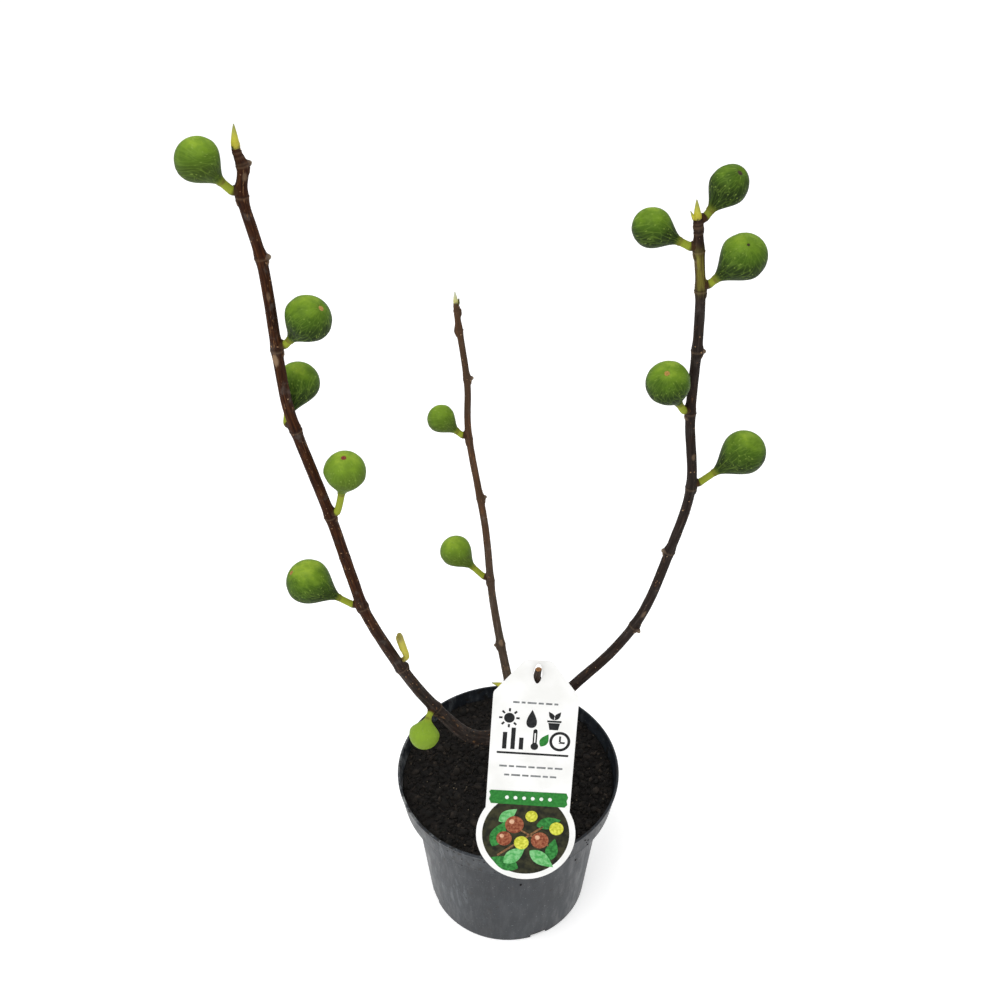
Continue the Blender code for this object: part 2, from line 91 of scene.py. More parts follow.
# Unevenness of the compost: size of the features, how high they stand, and a shift that makes each its own
COMPOST_WAVES = ((26.0, 1.3, 0), (8.0, 1.4, 50), (3.2, 0.7, 90), (1.6, 0.35, 120))
COMPOST_MOUND_HIGH = 1.6
COMPOST_MOUND_REACH = 11.0
COMPOST_MOUND_WIDE = 9.0
COMPOST_SETTLED = 0.3

# Trunk and leader
TRUNK_FOOT = np.array((14.0, 4.0, 140.3))
TRUNK_FORK = np.array((16.0, 2.0, 200.0))
TRUNK_FLARE_THICK = 27.0
TRUNK_WAIST_THICK = 18.5
TRUNK_FORK_THICK = 17.0
TRUNK_FLARE_HIGH = 13.0
LEADER_FOOT = np.array((18.0, -4.5, 229.0))
LEADER_END = np.array((22.5, -31.2, 307.5))
LEADER_FOOT_THICK = 8.6
LEADER_END_THICK = 5.0
FORK_REACH = 40.0
FORK_GRAIN = 0.7
FORK_AROUND = 32
LEADER_AROUND = 36
ROOT_LOBE_SHARE = 0.09

# Stems, buds and figs
NODE_SWELL = 0.14
NODE_REACH = 4.0
BUD_LEAN = 0.05
FIG_STALK_THICK = 4.8
FIG_STALK_START = 1.6
FIG_STALK_BEND = 2.6
FIG_FOOT_RISE = 3.5
FIG_STALK_SUNK = 1.6
FIG_ROUND_SHARE = 0.45
PETIOLE_LONG = 24.0
PETIOLE_THICK = 6.2
PETIOLE_LEAN = 5.0
PETIOLE_AROUND = 32
SIDE_BUD_SUNK = 1.7
FIG_AROUND = 72

# A fig past the first age has an open, sunken eye, and past the second a small one
OPEN_EYE_AGE = 1.5
SMALL_EYE_AGE = 1.85
SMALL_EYE_SIZE = 0.62

# Rings of scales over an eye: how many, turned by how much of a step, outer and inner reach, lift, width
EYE_RINGS = ((9, 0.0, 2.0, 0.7, -0.05, 1.1), (6, 0.5, 1.3, 0.15, 0.1, 0.9))
EYE_SCALE_FACES = [[3, 2, 1, 0], [5, 4, 2, 3], [6, 7, 8, 9], [9, 8, 10, 11], [7, 6, 0, 1]]
EYE_SCALE_FACES += [[8, 7, 1, 2], [10, 8, 2, 4], [11, 10, 4, 5], [9, 11, 5, 3], [6, 9, 3, 0]]

# Bud outlines: shares of the length, and the half width there as a share of the thickness
POINTED = ((0, 0.1, 0.26, 0.48, 0.68, 0.84, 0.95, 1), (0.49, 0.53, 0.5, 0.39, 0.27, 0.16, 0.08, 0.02))
BLUNT = ((0, 0.15, 0.4, 0.62, 0.8, 0.92, 1), (0.46, 0.51, 0.5, 0.44, 0.33, 0.2, 0.04))

# Fig skin: ribs as (how many, phase, height), and the size of its dents and their share of the radius
FIG_RIBS = ((9, 1, 0.5), (14, 2, 0.35))
FIG_RIB_SHARE = 0.012
FIG_DENT_SIZE = 9.0
FIG_DENT_SHARE = 0.026

# Bark relief: the ring scar at a node, the groove after it in ring widths, and the pad where a leaf stood
BARK_STEP = 0.9
BARK_AROUND = 44
WRINKLE_SIZE = 1.25
WRINKLE_SHARE = 0.02
LUMP_SIZE = 4.0
LUMP_SHARE = 0.035
RING_WIDE = 0.62
RING_HIGH = 0.26
GROOVE_AFTER = 1.9
GROOVE_DEEP = 0.12
LEAF_PAD_BELOW = 3.2
LEAF_PAD_WIDE = 2.4
LEAF_PAD_LONG = 1.8
LEAF_PAD_HIGH = 0.75
LEAF_DISH_DEEP = 0.25
FIG_SPUR_HIGH = 1.5
BUD_SPUR_HIGH = 0.8
BARE_SPUR_HIGH = 1.2

# Tag
TAG_THICK = 0.8
TAG_LEAN = math.radians(65.0)
TAG_ROLL = math.radians(3.7)
TAG_ROUND_X = 13.4
TAG_ROUND_RISE = 25.0
TAG_RIM_CLEAR = 0.75
INK_THICK = 0.05
DASH_THICK = 1.5
DASH_GAP = 1.6

# Strewn crumbs: fixed seeds of the tree, of the stuck dirt and of the first lenticels
SPIN_SEED = 7
TILT_SEED = 11
DIRT_SEED = 41
LENTICEL_SEED = 20
TOP_RINGS = 30
TOP_RING_STEP = 3.0
TOP_AROUND = 96

# Lamps: name, place and size in metres, and power in watts. They point at the middle of the plant
LAMPS = (
    ("key", (-0.5, -0.7, 2.2), 1.2, 18.0),
    ("left", (-1.9, -0.5, 0.6), 1.0, 3.5),
    ("back", (0.9, 1.6, 1.9), 1.2, 5.0),
)
LAMPS_AIM = (0.0, 0.0, 0.3)

# Inputs of the noise texture and of the map range, in the order in which the finishes give them
NOISE_INPUTS = ("Vector", "Scale", "Detail", "Roughness")
RANGE_INPUTS = ("Value", "From Min", "From Max", "To Min", "To Max")

# Floor and camera, in metres, and the lens in millimetres
FLOOR_HALF = 8.0
CAMERA_PLACE = (-0.007, -0.668, 0.976)
CAMERA_LENS = 43.2

# The photograph's view: how far it looks down, and its axes across, up and toward the viewer
VIEW_DOWN = math.radians(38.4)
VIEW_AXES = np.array(
    (
        (1.0, 0.0, 0.0),
        (0.0, math.sin(VIEW_DOWN), math.cos(VIEW_DOWN)),
        (0.0, -math.cos(VIEW_DOWN), math.sin(VIEW_DOWN)),
    )
)


def polar(bearing, reach=1.0):
    """A level vector of a given length, its bearing in degrees from +X."""
    turn = math.radians(bearing)
    return np.array((math.cos(turn) * reach, math.sin(turn) * reach, 0.0))


def unit(vectors):
    return vectors / np.linalg.norm(vectors, axis=-1, keepdims=True)


def smooth_through(points, per_span):
    """Points on a smooth curve that passes through all the given ones."""
    points = [np.array(point, float) for point in points]
    padded = [points[0] * 2 - points[1], *points, points[-1] * 2 - points[-2]]
    t = (np.arange(per_span) / per_span)[:, None]
    found = []
    for before, start, end, after in zip(padded, padded[1:], padded[2:], padded[3:]):
        bend = before * 2 - start * 5 + end * 4 - after
        twist = start * 3 - before - end * 3 + after
        found.append(0.5 * (start * 2 + (end - before) * t + bend * t**2 + twist * t**3))
    found.append(points[-1][None])
    return np.concatenate(found)


class Line:
    """A smooth line in space that is read by the distance along it."""

    def __init__(self, points, per_span=16):
        self.points = smooth_through(points, per_span)
        steps = np.linalg.norm(np.diff(self.points, axis=0), axis=1)
        self.marks = np.concatenate(([0.0], np.cumsum(steps)))
        self.long = float(self.marks[-1])

    def at(self, along):
        return np.stack([np.interp(along, self.marks, self.points[:, axis]) for axis in range(3)], -1)

    def heading(self, along):
        return unit(self.at(np.asarray(along) + 1.0) - self.at(np.asarray(along) - 1.0))

    def along_at_height(self, height):
        """How far along the line it last passes a height on its way up."""
        heights = self.points[:, 2]
        last = max(i for i in range(len(heights) - 1) if heights[i] <= height <= heights[i + 1])
        share = (height - heights[last]) / (heights[last + 1] - heights[last])
        return float(self.marks[last] + share * (self.marks[last + 1] - self.marks[last]))


@dataclass
class Stem:
    """One stem: its course lies in an upright plane through the trunk's foot.

    The course is points of (out from the trunk's foot, height), and node_heights says where on
    it the nodes are. Grey is the two heights between which the bark turns from grey to brown. Olive is where
    the bark is olive, and how much. A worn place is its height, bearing, half length, half
    width, and how pale or, below zero, how dark it is. Shade and paleness hold all over.
    """

    name: str
    bearing: float
    course: list
    thick: float
    flare: float
    tip_thick: float
    bud_long: float
    node_heights: list
    grey: tuple
    olive: tuple
    worn: list
    shade: float = 0.0
    paleness: float = 0.0

    def __post_init__(self):
        foot = TRUNK_FOOT * (1, 1, 0)
        start = TRUNK_FORK - polar(self.bearing) + UP * (self.course[0][1] - TRUNK_FORK[2])
        onward = [foot + polar(self.bearing, out) + UP * high for out, high in self.course[1:]]
        self.line = Line([start, *onward])
        self.nodes = [self.line.along_at_height(height) for height in self.node_heights]
        self.wood_end = self.line.long - self.bud_long
        self.scars = {}

    def radius(self, along):
        """Taper from foot to tip, a flare at the fork and a swelling at each node."""
        along = np.asarray(along, float)
        share = np.minimum(along / self.wood_end, 1.0)
        radius = (self.thick + (self.tip_thick - self.thick) * share) / 2
        radius = radius + self.flare / 2 * np.exp(-along / 55.0)
        for node in self.nodes:
            radius = radius * (1.0 + NODE_SWELL * np.exp(-(((along - node) / NODE_REACH) ** 2)))
        return radius

    def outward(self, along, bearing):
        """The direction square to the stem that points nearest to a bearing."""
        heading = self.line.heading(along)
        side = polar(bearing)
        return unit(side - heading * side.dot(heading))


LEFT = Stem(
    "left_stem",
    195.0,
    [(0, 199), (31, 196), (50, 206), (70, 236), (95, 285), (122, 356), (131, 398), (142, 460)]
    + [(158, 536), (162, 575), (164, 648), (170, 691), (168, 709), (170, 722), (169.5, 735)],
    thick=9.3,
    flare=6.4,
    tip_thick=6.3,
    bud_long=13.0,
    node_heights=[246, 299, 370, 459, 533, 594, 656, 694, 712],
    grey=(260, 400),
    olive=(655, 700, 0.0),
    worn=[(588, -110, 4.5, 3.0, 0.75), (568, 190, 8.0, 1.6, 0.6)]
    + [(706, -60, 3.0, 1.6, 0.35), (632, -80, 3.5, 1.6, 0.25)],
    shade=0.12,
)
MIDDLE = Stem(
    "middle_stem",
    118.0,
    [(0, 199), (12, 206), (30, 230), (57, 298), (70, 368), (96, 439), (97, 487), (111, 536), (114, 556)],
    thick=6.6,
    flare=3.0,
    tip_thick=4.7,
    bud_long=9.0,
    node_heights=[226, 260, 317, 391, 437, 491, 527, 541],
    grey=(290, 420),
    olive=(546, 560, 0.5),
    worn=[(262, -80, 3.0, 2.2, 0.6), (240, -60, 2.5, 1.6, 0.35), (492, -80, 36.0, 12.0, -0.55)],
    paleness=0.14,
)
RIGHT = Stem(
    "right_stem",
    -12.0,
    [(0, 202), (16, 220), (40, 261), (69, 307), (89, 353), (103, 415), (112, 472), (106, 530)]
    + [(105, 590), (103, 623), (98, 660), (95, 681)],
    thick=7.8,
    flare=3.8,
    tip_thick=6.2,
    bud_long=12.0,
    node_heights=[336, 414, 473, 534, 581, 623, 649, 665],
    grey=(600, 720),
    olive=(622, 651, 0.85),
    worn=[(500, -70, 3.0, 1.4, 0.35), (352, -95, 4.0, 1.5, 0.35)],
    shade=0.5,
)
STEMS = [LEFT, MIDDLE, RIGHT]


@dataclass
class Fig:
    """One fig: bearing, reach and rise say where its middle is from its node.

    Lime says how pale its skin is, below zero for a darker one. The eye is given
    as the photograph shows it: across, up, and toward the viewer.
    """

    stem: Stem
    node: int
    bearing: float
    reach: float
    rise: float
    thick: float
    long: float
    lime: float
    age: float
    eye: tuple
    foot_bearing: float = None
    neck: float = 0.82

    def __post_init__(self):
        self.along = self.stem.nodes[self.node]
        self.eye_size = 1.0 if self.age < SMALL_EYE_AGE else SMALL_EYE_SIZE
        self.eye = unit(np.array(self.eye) @ VIEW_AXES)
        self.foot_bearing = self.bearing if self.foot_bearing is None else self.foot_bearing
        self.stem.scars[self.node] = (self.foot_bearing, FIG_SPUR_HIGH)

    def line(self):
        """From inside the stem's bark, square to it, then in a bend through the fig's middle."""
        above = self.along + FIG_FOOT_RISE
        side = self.stem.outward(above, self.foot_bearing)
        foot = self.stem.line.at(above) + side * (float(self.stem.radius(above)) + 0.3)
        middle = self.stem.line.at(self.along) + polar(self.bearing, self.reach) + UP * self.rise
        start = foot + side * FIG_STALK_START
        bend = start + side * FIG_STALK_BEND + self.stem.line.heading(above) * FIG_STALK_START
        points = [foot - side * FIG_STALK_SUNK, foot]
        for step in range(7):
            t = step / 6
            points.append(start * (1 - t) ** 2 + bend * 2 * t * (1 - t) + middle * t**2)
        onward = unit(middle - bend) * self.long
        return Line([*points, middle + onward * 0.25, middle + onward * FIG_ROUND_SHARE])

    def neck_long(self, line_long):
        """From the widest place to where the stalk starts, with some stalk left bare."""
        bare = line_long - FIG_STALK_SUNK - self.long * FIG_ROUND_SHARE - FIG_STALK_THICK * 1.2
        return min(self.thick * self.neck, bare)

    def radius(self, from_eye, line_long):
        """Pear-shaped: a round end at the eye, and a neck that narrows to the stalk."""
        widest = self.thick / 2
        stalk = FIG_STALK_THICK / 2
        round_long = self.long * FIG_ROUND_SHARE
        end = widest * np.sqrt(np.clip(1 - ((round_long - from_eye) / round_long) ** 2, 0, 1))
        share = np.clip((from_eye - round_long) / self.neck_long(line_long), 0, 1)
        neck = stalk + (widest - stalk) * np.cos(np.pi / 2 * share) ** 1.7
        return np.where(from_eye < round_long, end, neck)


FIGS = {
    "fig_left_1": Fig(LEFT, 7, 199, 20.8, 23.5, 25.5, 28.0, 0.08, 0.3, (-0.6, 0.4, -0.7), None, 0.7),
    "fig_left_2": Fig(LEFT, 5, -6, 21.5, 22.0, 29.0, 32.0, -0.06, 0.1, (0.67, 0.38, 0.64)),
    "fig_left_3": Fig(LEFT, 4, 85, 19.6, 23.5, 27.5, 30.0, -0.04, 0.3, (0.3, 0.6, -0.74), 145),
    "fig_left_4": Fig(LEFT, 3, -15, 14.2, 40.0, 28.0, 32.0, 0.2, 0.95, (0.05, 0.65, 0.76), None, 0.7),
    "fig_left_5": Fig(LEFT, 2, 180, 37.0, 24.5, 32.5, 35.0, 0.0, 0.35, (-0.71, 0.43, 0.56)),
    "fig_left_6": Fig(LEFT, 0, 247, 20.5, -9.5, 24.5, 28.0, 0.62, 0.2, (-0.4, -0.6, -0.6)),
    "fig_middle_1": Fig(MIDDLE, 4, 180, 21.3, 19.0, 21.5, 22.5, 0.14, 0.3, (-0.7, 0.1, -0.7)),
    "fig_middle_2": Fig(MIDDLE, 2, 168, 28.7, 26.5, 25.5, 27.0, 0.2, 0.3, (-0.8, 0.3, -0.5)),
    "fig_right_1": Fig(RIGHT, 7, 27, 18.2, 20.0, 23.0, 31.0, -0.3, 1.8, (0.45, 0.5, 0.74)),
    "fig_right_2": Fig(RIGHT, 6, 180, 29.0, 14.7, 23.8, 27.0, -0.06, 0.3, (-0.85, 0.0, -0.5)),
    "fig_right_3": Fig(RIGHT, 5, 0, 23.2, 22.0, 28.5, 33.0, -0.06, 1.9, (0.05, 0.32, 0.95)),
    "fig_right_4": Fig(RIGHT, 3, 212, 21.8, 30.0, 28.5, 31.0, -0.02, 0.15, (-0.17, 0.32, 0.93)),
    "fig_right_5": Fig(RIGHT, 2, 7, 33.5, 26.4, 30.0, 33.5, -0.08, 0.3, (0.85, 0.2, -0.5)),
}

# Side buds on nodes that bear no fig: stem, node, bearing, length and thickness
SIDE_BUDS = {
    "left_bud_1": (LEFT, 6, -10, 2.8, 4.6),
    "left_bud_2": (LEFT, 8, 15, 2.3, 4.4),
    "middle_bud_1": (MIDDLE, 0, 178, 10.0, 6.6),
    "middle_bud_2": (MIDDLE, 1, 190, 2.2, 3.8),
    "middle_bud_3": (MIDDLE, 3, 0, 2.4, 4.0),
    "middle_bud_4": (MIDDLE, 5, -10, 2.6, 4.2),
    "right_bud_1": (RIGHT, 0, -60, 3.8, 3.8),
    "right_bud_2": (RIGHT, 1, 190, 2.6, 4.4),
    "right_bud_3": (RIGHT, 4, -20, 2.3, 4.0),
}
for bud_stem, bud_node, bud_bearing, _, _ in SIDE_BUDS.values():
    bud_stem.scars[bud_node] = (bud_bearing, BUD_SPUR_HIGH)
for bare_stem, bare_node, bare_bearing in ((LEFT, 1, 20), (MIDDLE, 6, 170), (MIDDLE, 7, 20)):
    bare_stem.scars[bare_node] = (bare_bearing, BARE_SPUR_HIGH)


def linear_colour(hex_code):
    """An sRGB hex colour as the linear RGBA that a shader takes."""
    channels = [int(hex_code[index : index + 2], 16) / 255 for index in (0, 2, 4)]
    return [c / 12.92 if c <= 0.04045 else ((c + 0.055) / 1.055) ** 2.4 for c in channels] + [1.0]


def per_mm(size):
    """The texture scale at which a pattern repeats about every so many millimetres."""
    return 1.0 / (size * MM)


def set_inputs(tree, node, inputs):
    """Sets inputs of a node to a value, a hex colour, a socket or another node's first output."""
    for name, value in inputs.items():
        if isinstance(value, bpy.types.Node):
            value = value.outputs[0]
        if isinstance(value, bpy.types.NodeSocket):
            tree.links.new(value, node.inputs[name])
        else:
            node.inputs[name].default_value = linear_colour(value) if isinstance(value, str) else value


def add_node(tree, kind, settings=None, inputs=None, stops=()):
    """Adds a node with its settings, its inputs and its colour stops."""
    made = tree.nodes.new(kind)
    for name, value in (settings or {}).items():
        setattr(made, name, value)
    set_inputs(tree, made, inputs or {})
    if stops:
        elements = made.color_ramp.elements
        while len(elements) < len(stops):
            elements.new(1.0)
        for element, (place, hex_code) in zip(elements, stops):
            element.position = place
            element.color = linear_colour(hex_code)
    return made


def new_finish(name, constants):
    """A new material, the call that adds nodes to it, and the call that sets its shader's inputs."""
    made = bpy.data.materials.new(name)
    made.use_nodes = True
    tree = made.node_tree
    set_surface = partial(set_inputs, tree, tree.nodes["Principled BSDF"])
    set_surface(constants)
    return made, partial(add_node, tree), set_surface


def layered(add, colour, *layers):
    """The colour after others are laid over it in turn, each by its share."""
    for share, over in layers:
        colour = add("ShaderNodeMix", {"data_type": "RGBA"}, {0: share, 6: colour, 7: over}).outputs[2]
    return colour


def fig_bark():
    """Young fig bark: smooth, thin and slightly waxy, streaked along the shoot, grey film on old wood."""
    made, add, set_surface = new_finish("fig_bark", {"Roughness": 0.62, "Specular IOR Level": 0.05})
    place = add("ShaderNodeAttribute", {"attribute_name": "bark_place"}).outputs["Vector"]
    old_wood, olive, dark, scar = [
        add("ShaderNodeAttribute", {"attribute_name": mark}).outputs["Fac"]
        for mark in ("grey", "olive", "dark", "scar")
    ]
    long_grain, short_grain = [
        add("ShaderNodeMapping", inputs={"Vector": place, "Scale": (1.0, 1.0, stretch)})
        for stretch in (0.09, 0.4)
    ]
    streak, patch, cork, fine = [
        add("ShaderNodeTexNoise", inputs=dict(zip(NOISE_INPUTS, row)))
        for row in (
            (long_grain, per_mm(1.6), 5.0, 0.62),
            (place, per_mm(11.0), 4.0, 0.6),
            (short_grain, per_mm(3.2), 3.0, 0.7),
            (place, per_mm(0.7), 3.0, 0.5),
        )
    ]
    brown, grey, green = [
        add("ShaderNodeValToRGB", inputs={0: streak}, stops=stops)
        for stops in (
            ((0.28, "1a0c06"), (0.45, "30190d"), (0.6, "442612"), (0.76, "6d4424")),
            ((0.3, "1c1a19"), (0.48, "2f2a27"), (0.62, "413a36"), (0.78, "6b635b")),
            ((0.36, "3a2818"), (0.47, "5f5422"), (0.62, "7f7c2e"), (0.8, "9b9946")),
        )
    ]
    uneven_age = add("ShaderNodeMath", {"operation": "MULTIPLY_ADD"}, {0: patch, 1: 1.6, 2: -0.8})
    old = add("ShaderNodeMath", {"operation": "ADD", "use_clamp": True}, {0: old_wood, 1: uneven_age})
    film, tan = [
        add("ShaderNodeMapRange", inputs=dict(zip(RANGE_INPUTS, row)))
        for row in ((patch, 0.6, 0.74, 0.0, 0.3), (cork, 0.62, 0.7, 0.0, 0.6))
    ]
    wood = layered(add, brown, (old, grey), (olive, green), (film, "756c64"), (tan, "8a6644"))
    relief = add("ShaderNodeMath", {"operation": "ADD"}, {0: streak, 1: fine})
    bump = add("ShaderNodeBump", inputs={"Height": relief, "Strength": 0.45, "Distance": 0.35 * MM})
    set_surface({"Base Color": layered(add, wood, (dark, "1f1511"), (scar, "937a60")), "Normal": bump})
    return made


def fig_skin():
    """Unripe fig skin: firm, faintly waxy green with pale streaks, veins and specks, and painted light and
    shade: lighter on top, darker underneath.
    """
    made, add, set_surface = new_finish("fig_skin", {"Roughness": 0.55, "Specular IOR Level": 0.07})
    place = add("ShaderNodeAttribute", {"attribute_name": "skin_place"}).outputs["Vector"]
    spot = add("ShaderNodeTexCoord").outputs["Object"]
    lime, stalk, ring, foot, sunny = [
        add("ShaderNodeAttribute", {"attribute_name": mark}).outputs["Fac"]
        for mark in ("lime", "stalk", "ring", "foot", "sunny")
    ]
    long_grain, short_grain = [
        add("ShaderNodeMapping", inputs={"Vector": place, "Scale": (1.0, 1.0, stretch)})
        for stretch in (0.1, 0.42)
    ]
    cloud, streak = [
        add("ShaderNodeTexNoise", inputs=dict(zip(NOISE_INPUTS, row)))
        for row in (
            (spot, per_mm(9.0), 5.0, 0.62),
            (long_grain, per_mm(1.5), 3.0, 0.55),
        )
    ]
    soft_cloud = add("ShaderNodeMath", {"operation": "MULTIPLY_ADD"}, {0: cloud, 1: 0.42, 2: 0.235})
    # Painted light and shade: the green is lighter where the skin faces up and darker where it faces down,
    # as light from above would make it
    tone = add("ShaderNodeMath", {"operation": "MULTIPLY_ADD"}, {0: sunny, 1: 0.55, 2: soft_cloud})
    green = add(
        "ShaderNodeValToRGB",
        inputs={0: tone},
        stops=((0.4, "1c290b"), (0.55, "283a10"), (0.74, "446018"), (0.88, "668522"), (1.0, "8faa34")),
    )
    net, spots = [
        add("ShaderNodeTexVoronoi", {"feature": feature}, {"Vector": vector, "Scale": per_mm(size)})
        for feature, vector, size in (("DISTANCE_TO_EDGE", short_grain, 2.7), ("F1", place, 2.9))
    ]
    pale_line, vein, speck = [
        add("ShaderNodeMapRange", inputs=dict(zip(RANGE_INPUTS, row)))
        for row in (
            (streak, 0.58, 0.72, 0.0, 0.3),
            (net.outputs["Distance"], 0.02, 0.09, 0.45, 0.0),
            (spots.outputs["Distance"], 0.12, 0.22, 0.4, 0.0),
        )
    ]
    broken_vein = add("ShaderNodeMath", {"operation": "MULTIPLY"}, {0: vein, 1: streak})
    patterned = layered(
        add, green, (lime, "93b238"), (pale_line, "7f9a36"), (broken_vein, "728f36"), (speck, "90a84c")
    )
    colour = layered(add, patterned, (stalk, "929d31"), (ring, "5e4a26"), (foot, "3a2716"))
    relief = add("ShaderNodeMath", {"operation": "MULTIPLY_ADD"}, {0: streak, 1: 0.8, 2: speck})
    bump = add("ShaderNodeBump", inputs={"Height": relief, "Strength": 0.35, "Distance": 0.25 * MM})
    set_surface({"Base Color": colour, "Normal": bump})
    return made


def moulded_grey_plastic():
    """Injection-moulded recycled polypropylene: satin grey, dusty, with water runs and fine scuffs; the pale
    dust on the left side is partly a painted sheen.
    """
    made, add, set_surface = new_finish("moulded_grey_plastic", {"Specular IOR Level": 0.32})
    place = add("ShaderNodeTexCoord").outputs["Object"]
    side = add("ShaderNodeSeparateXYZ", inputs={0: place})
    upright, askew = [
        add("ShaderNodeMapping", inputs=dict(zip(("Vector", "Rotation", "Scale"), row)))
        for row in (
            (place, (0.0, 0.0, 0.0), (1.0, 1.0, 0.16)),
            (place, (0.5, 0.9, 0.3), (1.0, 0.06, 1.0)),
        )
    ]
    cloud, runs, stain, scuffs, splash, peel = [
        add("ShaderNodeTexNoise", inputs=dict(zip(NOISE_INPUTS, row)))
        for row in (
            (place, per_mm(38.0), 4.0, 0.5),
            (upright, per_mm(6.0), 6.0, 0.65),
            (place, per_mm(15.0), 7.0, 0.72),
            (askew, per_mm(1.6), 2.0, 0.5),
            (place, per_mm(7.0), 8.0, 0.75),
            (place, per_mm(1.2), 2.0, 0.5),
        )
    ]
    specks = add("ShaderNodeTexVoronoi", inputs={"Vector": place, "Scale": per_mm(16.0)})
    # Shares that rise or fall between two readings of a pattern, or between two places in metres
    left, far_left, near_lip, run, stained, scuff, dirt, rough = [
        add("ShaderNodeMapRange", inputs=dict(zip(RANGE_INPUTS, row)))
        for row in (
            (side.outputs["X"], -0.015, -0.075, 0.12, 1.0),
            (side.outputs["X"], -0.058, -0.084, 0.0, 0.42),
            (side.outputs["Z"], 0.112, 0.15, -0.06, 0.0),
            (runs, 0.52, 0.7, 0.0, 0.75),
            (stain, 0.5, 0.68, 0.0, 1.0),
            (scuffs, 0.66, 0.74, 0.0, 0.3),
            (specks, 0.035, 0.07, 0.9, 0.0),
            (runs, 0.35, 0.7, 0.36, 0.62),
        )
    ]
    # Dust in the water runs, strongest on the left side, where its pale grey is also a painted sheen of the
    # light from the left
    dust_and_left_sheen = add("ShaderNodeMath", {"operation": "MULTIPLY"}, {0: run, 1: left})
    chalk = add("ShaderNodeMath", {"operation": "MULTIPLY"}, {0: stained, 1: far_left})
    high_splash = add("ShaderNodeMath", {"operation": "ADD"}, {0: splash, 1: near_lip})
    splash_range = (high_splash, 0.54, 0.565, 0.0, 0.85)
    splashed = add("ShaderNodeMapRange", inputs=dict(zip(RANGE_INPUTS, splash_range)))
    plain = add(
        "ShaderNodeValToRGB", inputs={0: cloud}, stops=((0.3, "181c22"), (0.55, "21262c"), (0.75, "2b3036"))
    )
    weathered = layered(add, plain, (dust_and_left_sheen, "84888b"), (chalk, "b4b7b6"), (scuff, "8b8f92"))
    colour = layered(add, weathered, (dirt, "1d1a18"), (splashed, "1a1714"))
    bump = add("ShaderNodeBump", inputs={"Height": peel, "Strength": 0.12, "Distance": 0.2 * MM})
    set_surface({"Base Color": colour, "Roughness": rough, "Normal": bump})
    return made


def toned_finish(
    name,
    constants,
    size,
    stops,
    detail=2.0,
    grain=1.0,
    mark=None,
    share=1.0,
    shift=0.0,
    spread=1.0,
    over=None,
    relief=None,
):
    """A material whose colour drifts between its stops with a pattern of a given size in millimetres.

    Grain below one draws the pattern out upright. Where a mark of the piece is named, its share
    plus the shift says which stop, and the pattern only blurs it by its spread. Over is another
    mark and the colour that it lays on top. Relief is the size, detail, strength and depth of bumps.
    """
    made, add, set_surface = new_finish(name, constants)
    spot = add("ShaderNodeTexCoord").outputs["Object"]
    place = add("ShaderNodeMapping", inputs={"Vector": spot, "Scale": (1.0, 1.0, grain)})
    tone = add("ShaderNodeTexNoise", inputs={"Vector": place, "Scale": per_mm(size), "Detail": detail})
    if mark:
        marked = add("ShaderNodeAttribute", {"attribute_name": mark}).outputs["Fac"]
        middle = add("ShaderNodeMath", {"operation": "MULTIPLY_ADD"}, {0: marked, 1: share, 2: shift})
        tone = add("ShaderNodeMath", {"operation": "MULTIPLY_ADD"}, {0: tone, 1: spread, 2: middle})
    colour = add("ShaderNodeValToRGB", inputs={0: tone}, stops=stops)
    if over:
        top = add("ShaderNodeAttribute", {"attribute_name": over[0]}).outputs["Fac"]
        colour = layered(add, colour, (top, over[1]))
    set_surface({"Base Color": colour})
    if relief:
        bump_size, bump_detail, strength, depth = relief
        fine = add(
            "ShaderNodeTexNoise", inputs={"Vector": place, "Scale": per_mm(bump_size), "Detail": bump_detail}
        )
        bump = add("ShaderNodeBump", inputs={"Height": fine, "Strength": strength, "Distance": depth * MM})
        set_surface({"Normal": bump})
    return made


def cut_wood():
    """A pruning cut, months old: dull tan wood, finely mottled with darker brown."""
    stops = ((0.3, "5e3d22"), (0.5, "86592f"), (0.7, "a87c48"))
    return toned_finish("cut_wood", {"Roughness": 0.85}, 0.8, stops)


def lenticel_cork():
    """Lenticels: dry tan cork that stands just proud of the bark."""
    stops = ((0.35, "5a3f2a"), (0.5, "856243"), (0.68, "a98b67"))
    return toned_finish("lenticel_cork", {"Roughness": 0.85}, 9.0, stops)


def eye_scales():
    """The fig's eye: dry little scales, tan where young and red-brown where older."""
    stops = ((0.05, "b08a42"), (0.3, "9a5f2a"), (0.5, "83301f"), (0.75, "4a3018"), (1.0, "33280f"))
    ageing = {"mark": "age", "share": 0.5, "shift": -0.08, "spread": 0.2}
    return toned_finish("eye_scales", {"Roughness": 0.6}, 1.4, stops, **ageing)


def bud_scales():
    """Bud scales: smooth and waxy, yellow-green at the foot and grey-green at the tip."""
    constants = {"Roughness": 0.5, "Specular IOR Level": 0.2}
    stops = ((0.0, "4a4a1e"), (0.12, "a89f32"), (0.4, "b9b53c"), (0.7, "a2a346"), (1.0, "7d8350"))
    upward = {"mark": "from_foot", "shift": -0.25, "spread": 0.5}
    return toned_finish("bud_scales", constants, 2.5, stops, over=("frost", "c3c6b6"), **upward)


def dormant_bud():
    """Resting buds and old scars: hard brown scales, worn pale at the tip."""
    stops = ((0.0, "26170f"), (0.5, "3c2819"), (0.8, "5c4a35"), (1.0, "847560"))
    upward = {"mark": "from_foot", "shift": -0.25, "spread": 0.5}
    return toned_finish("dormant_bud", {"Roughness": 0.65}, 1.6, stops, **upward)


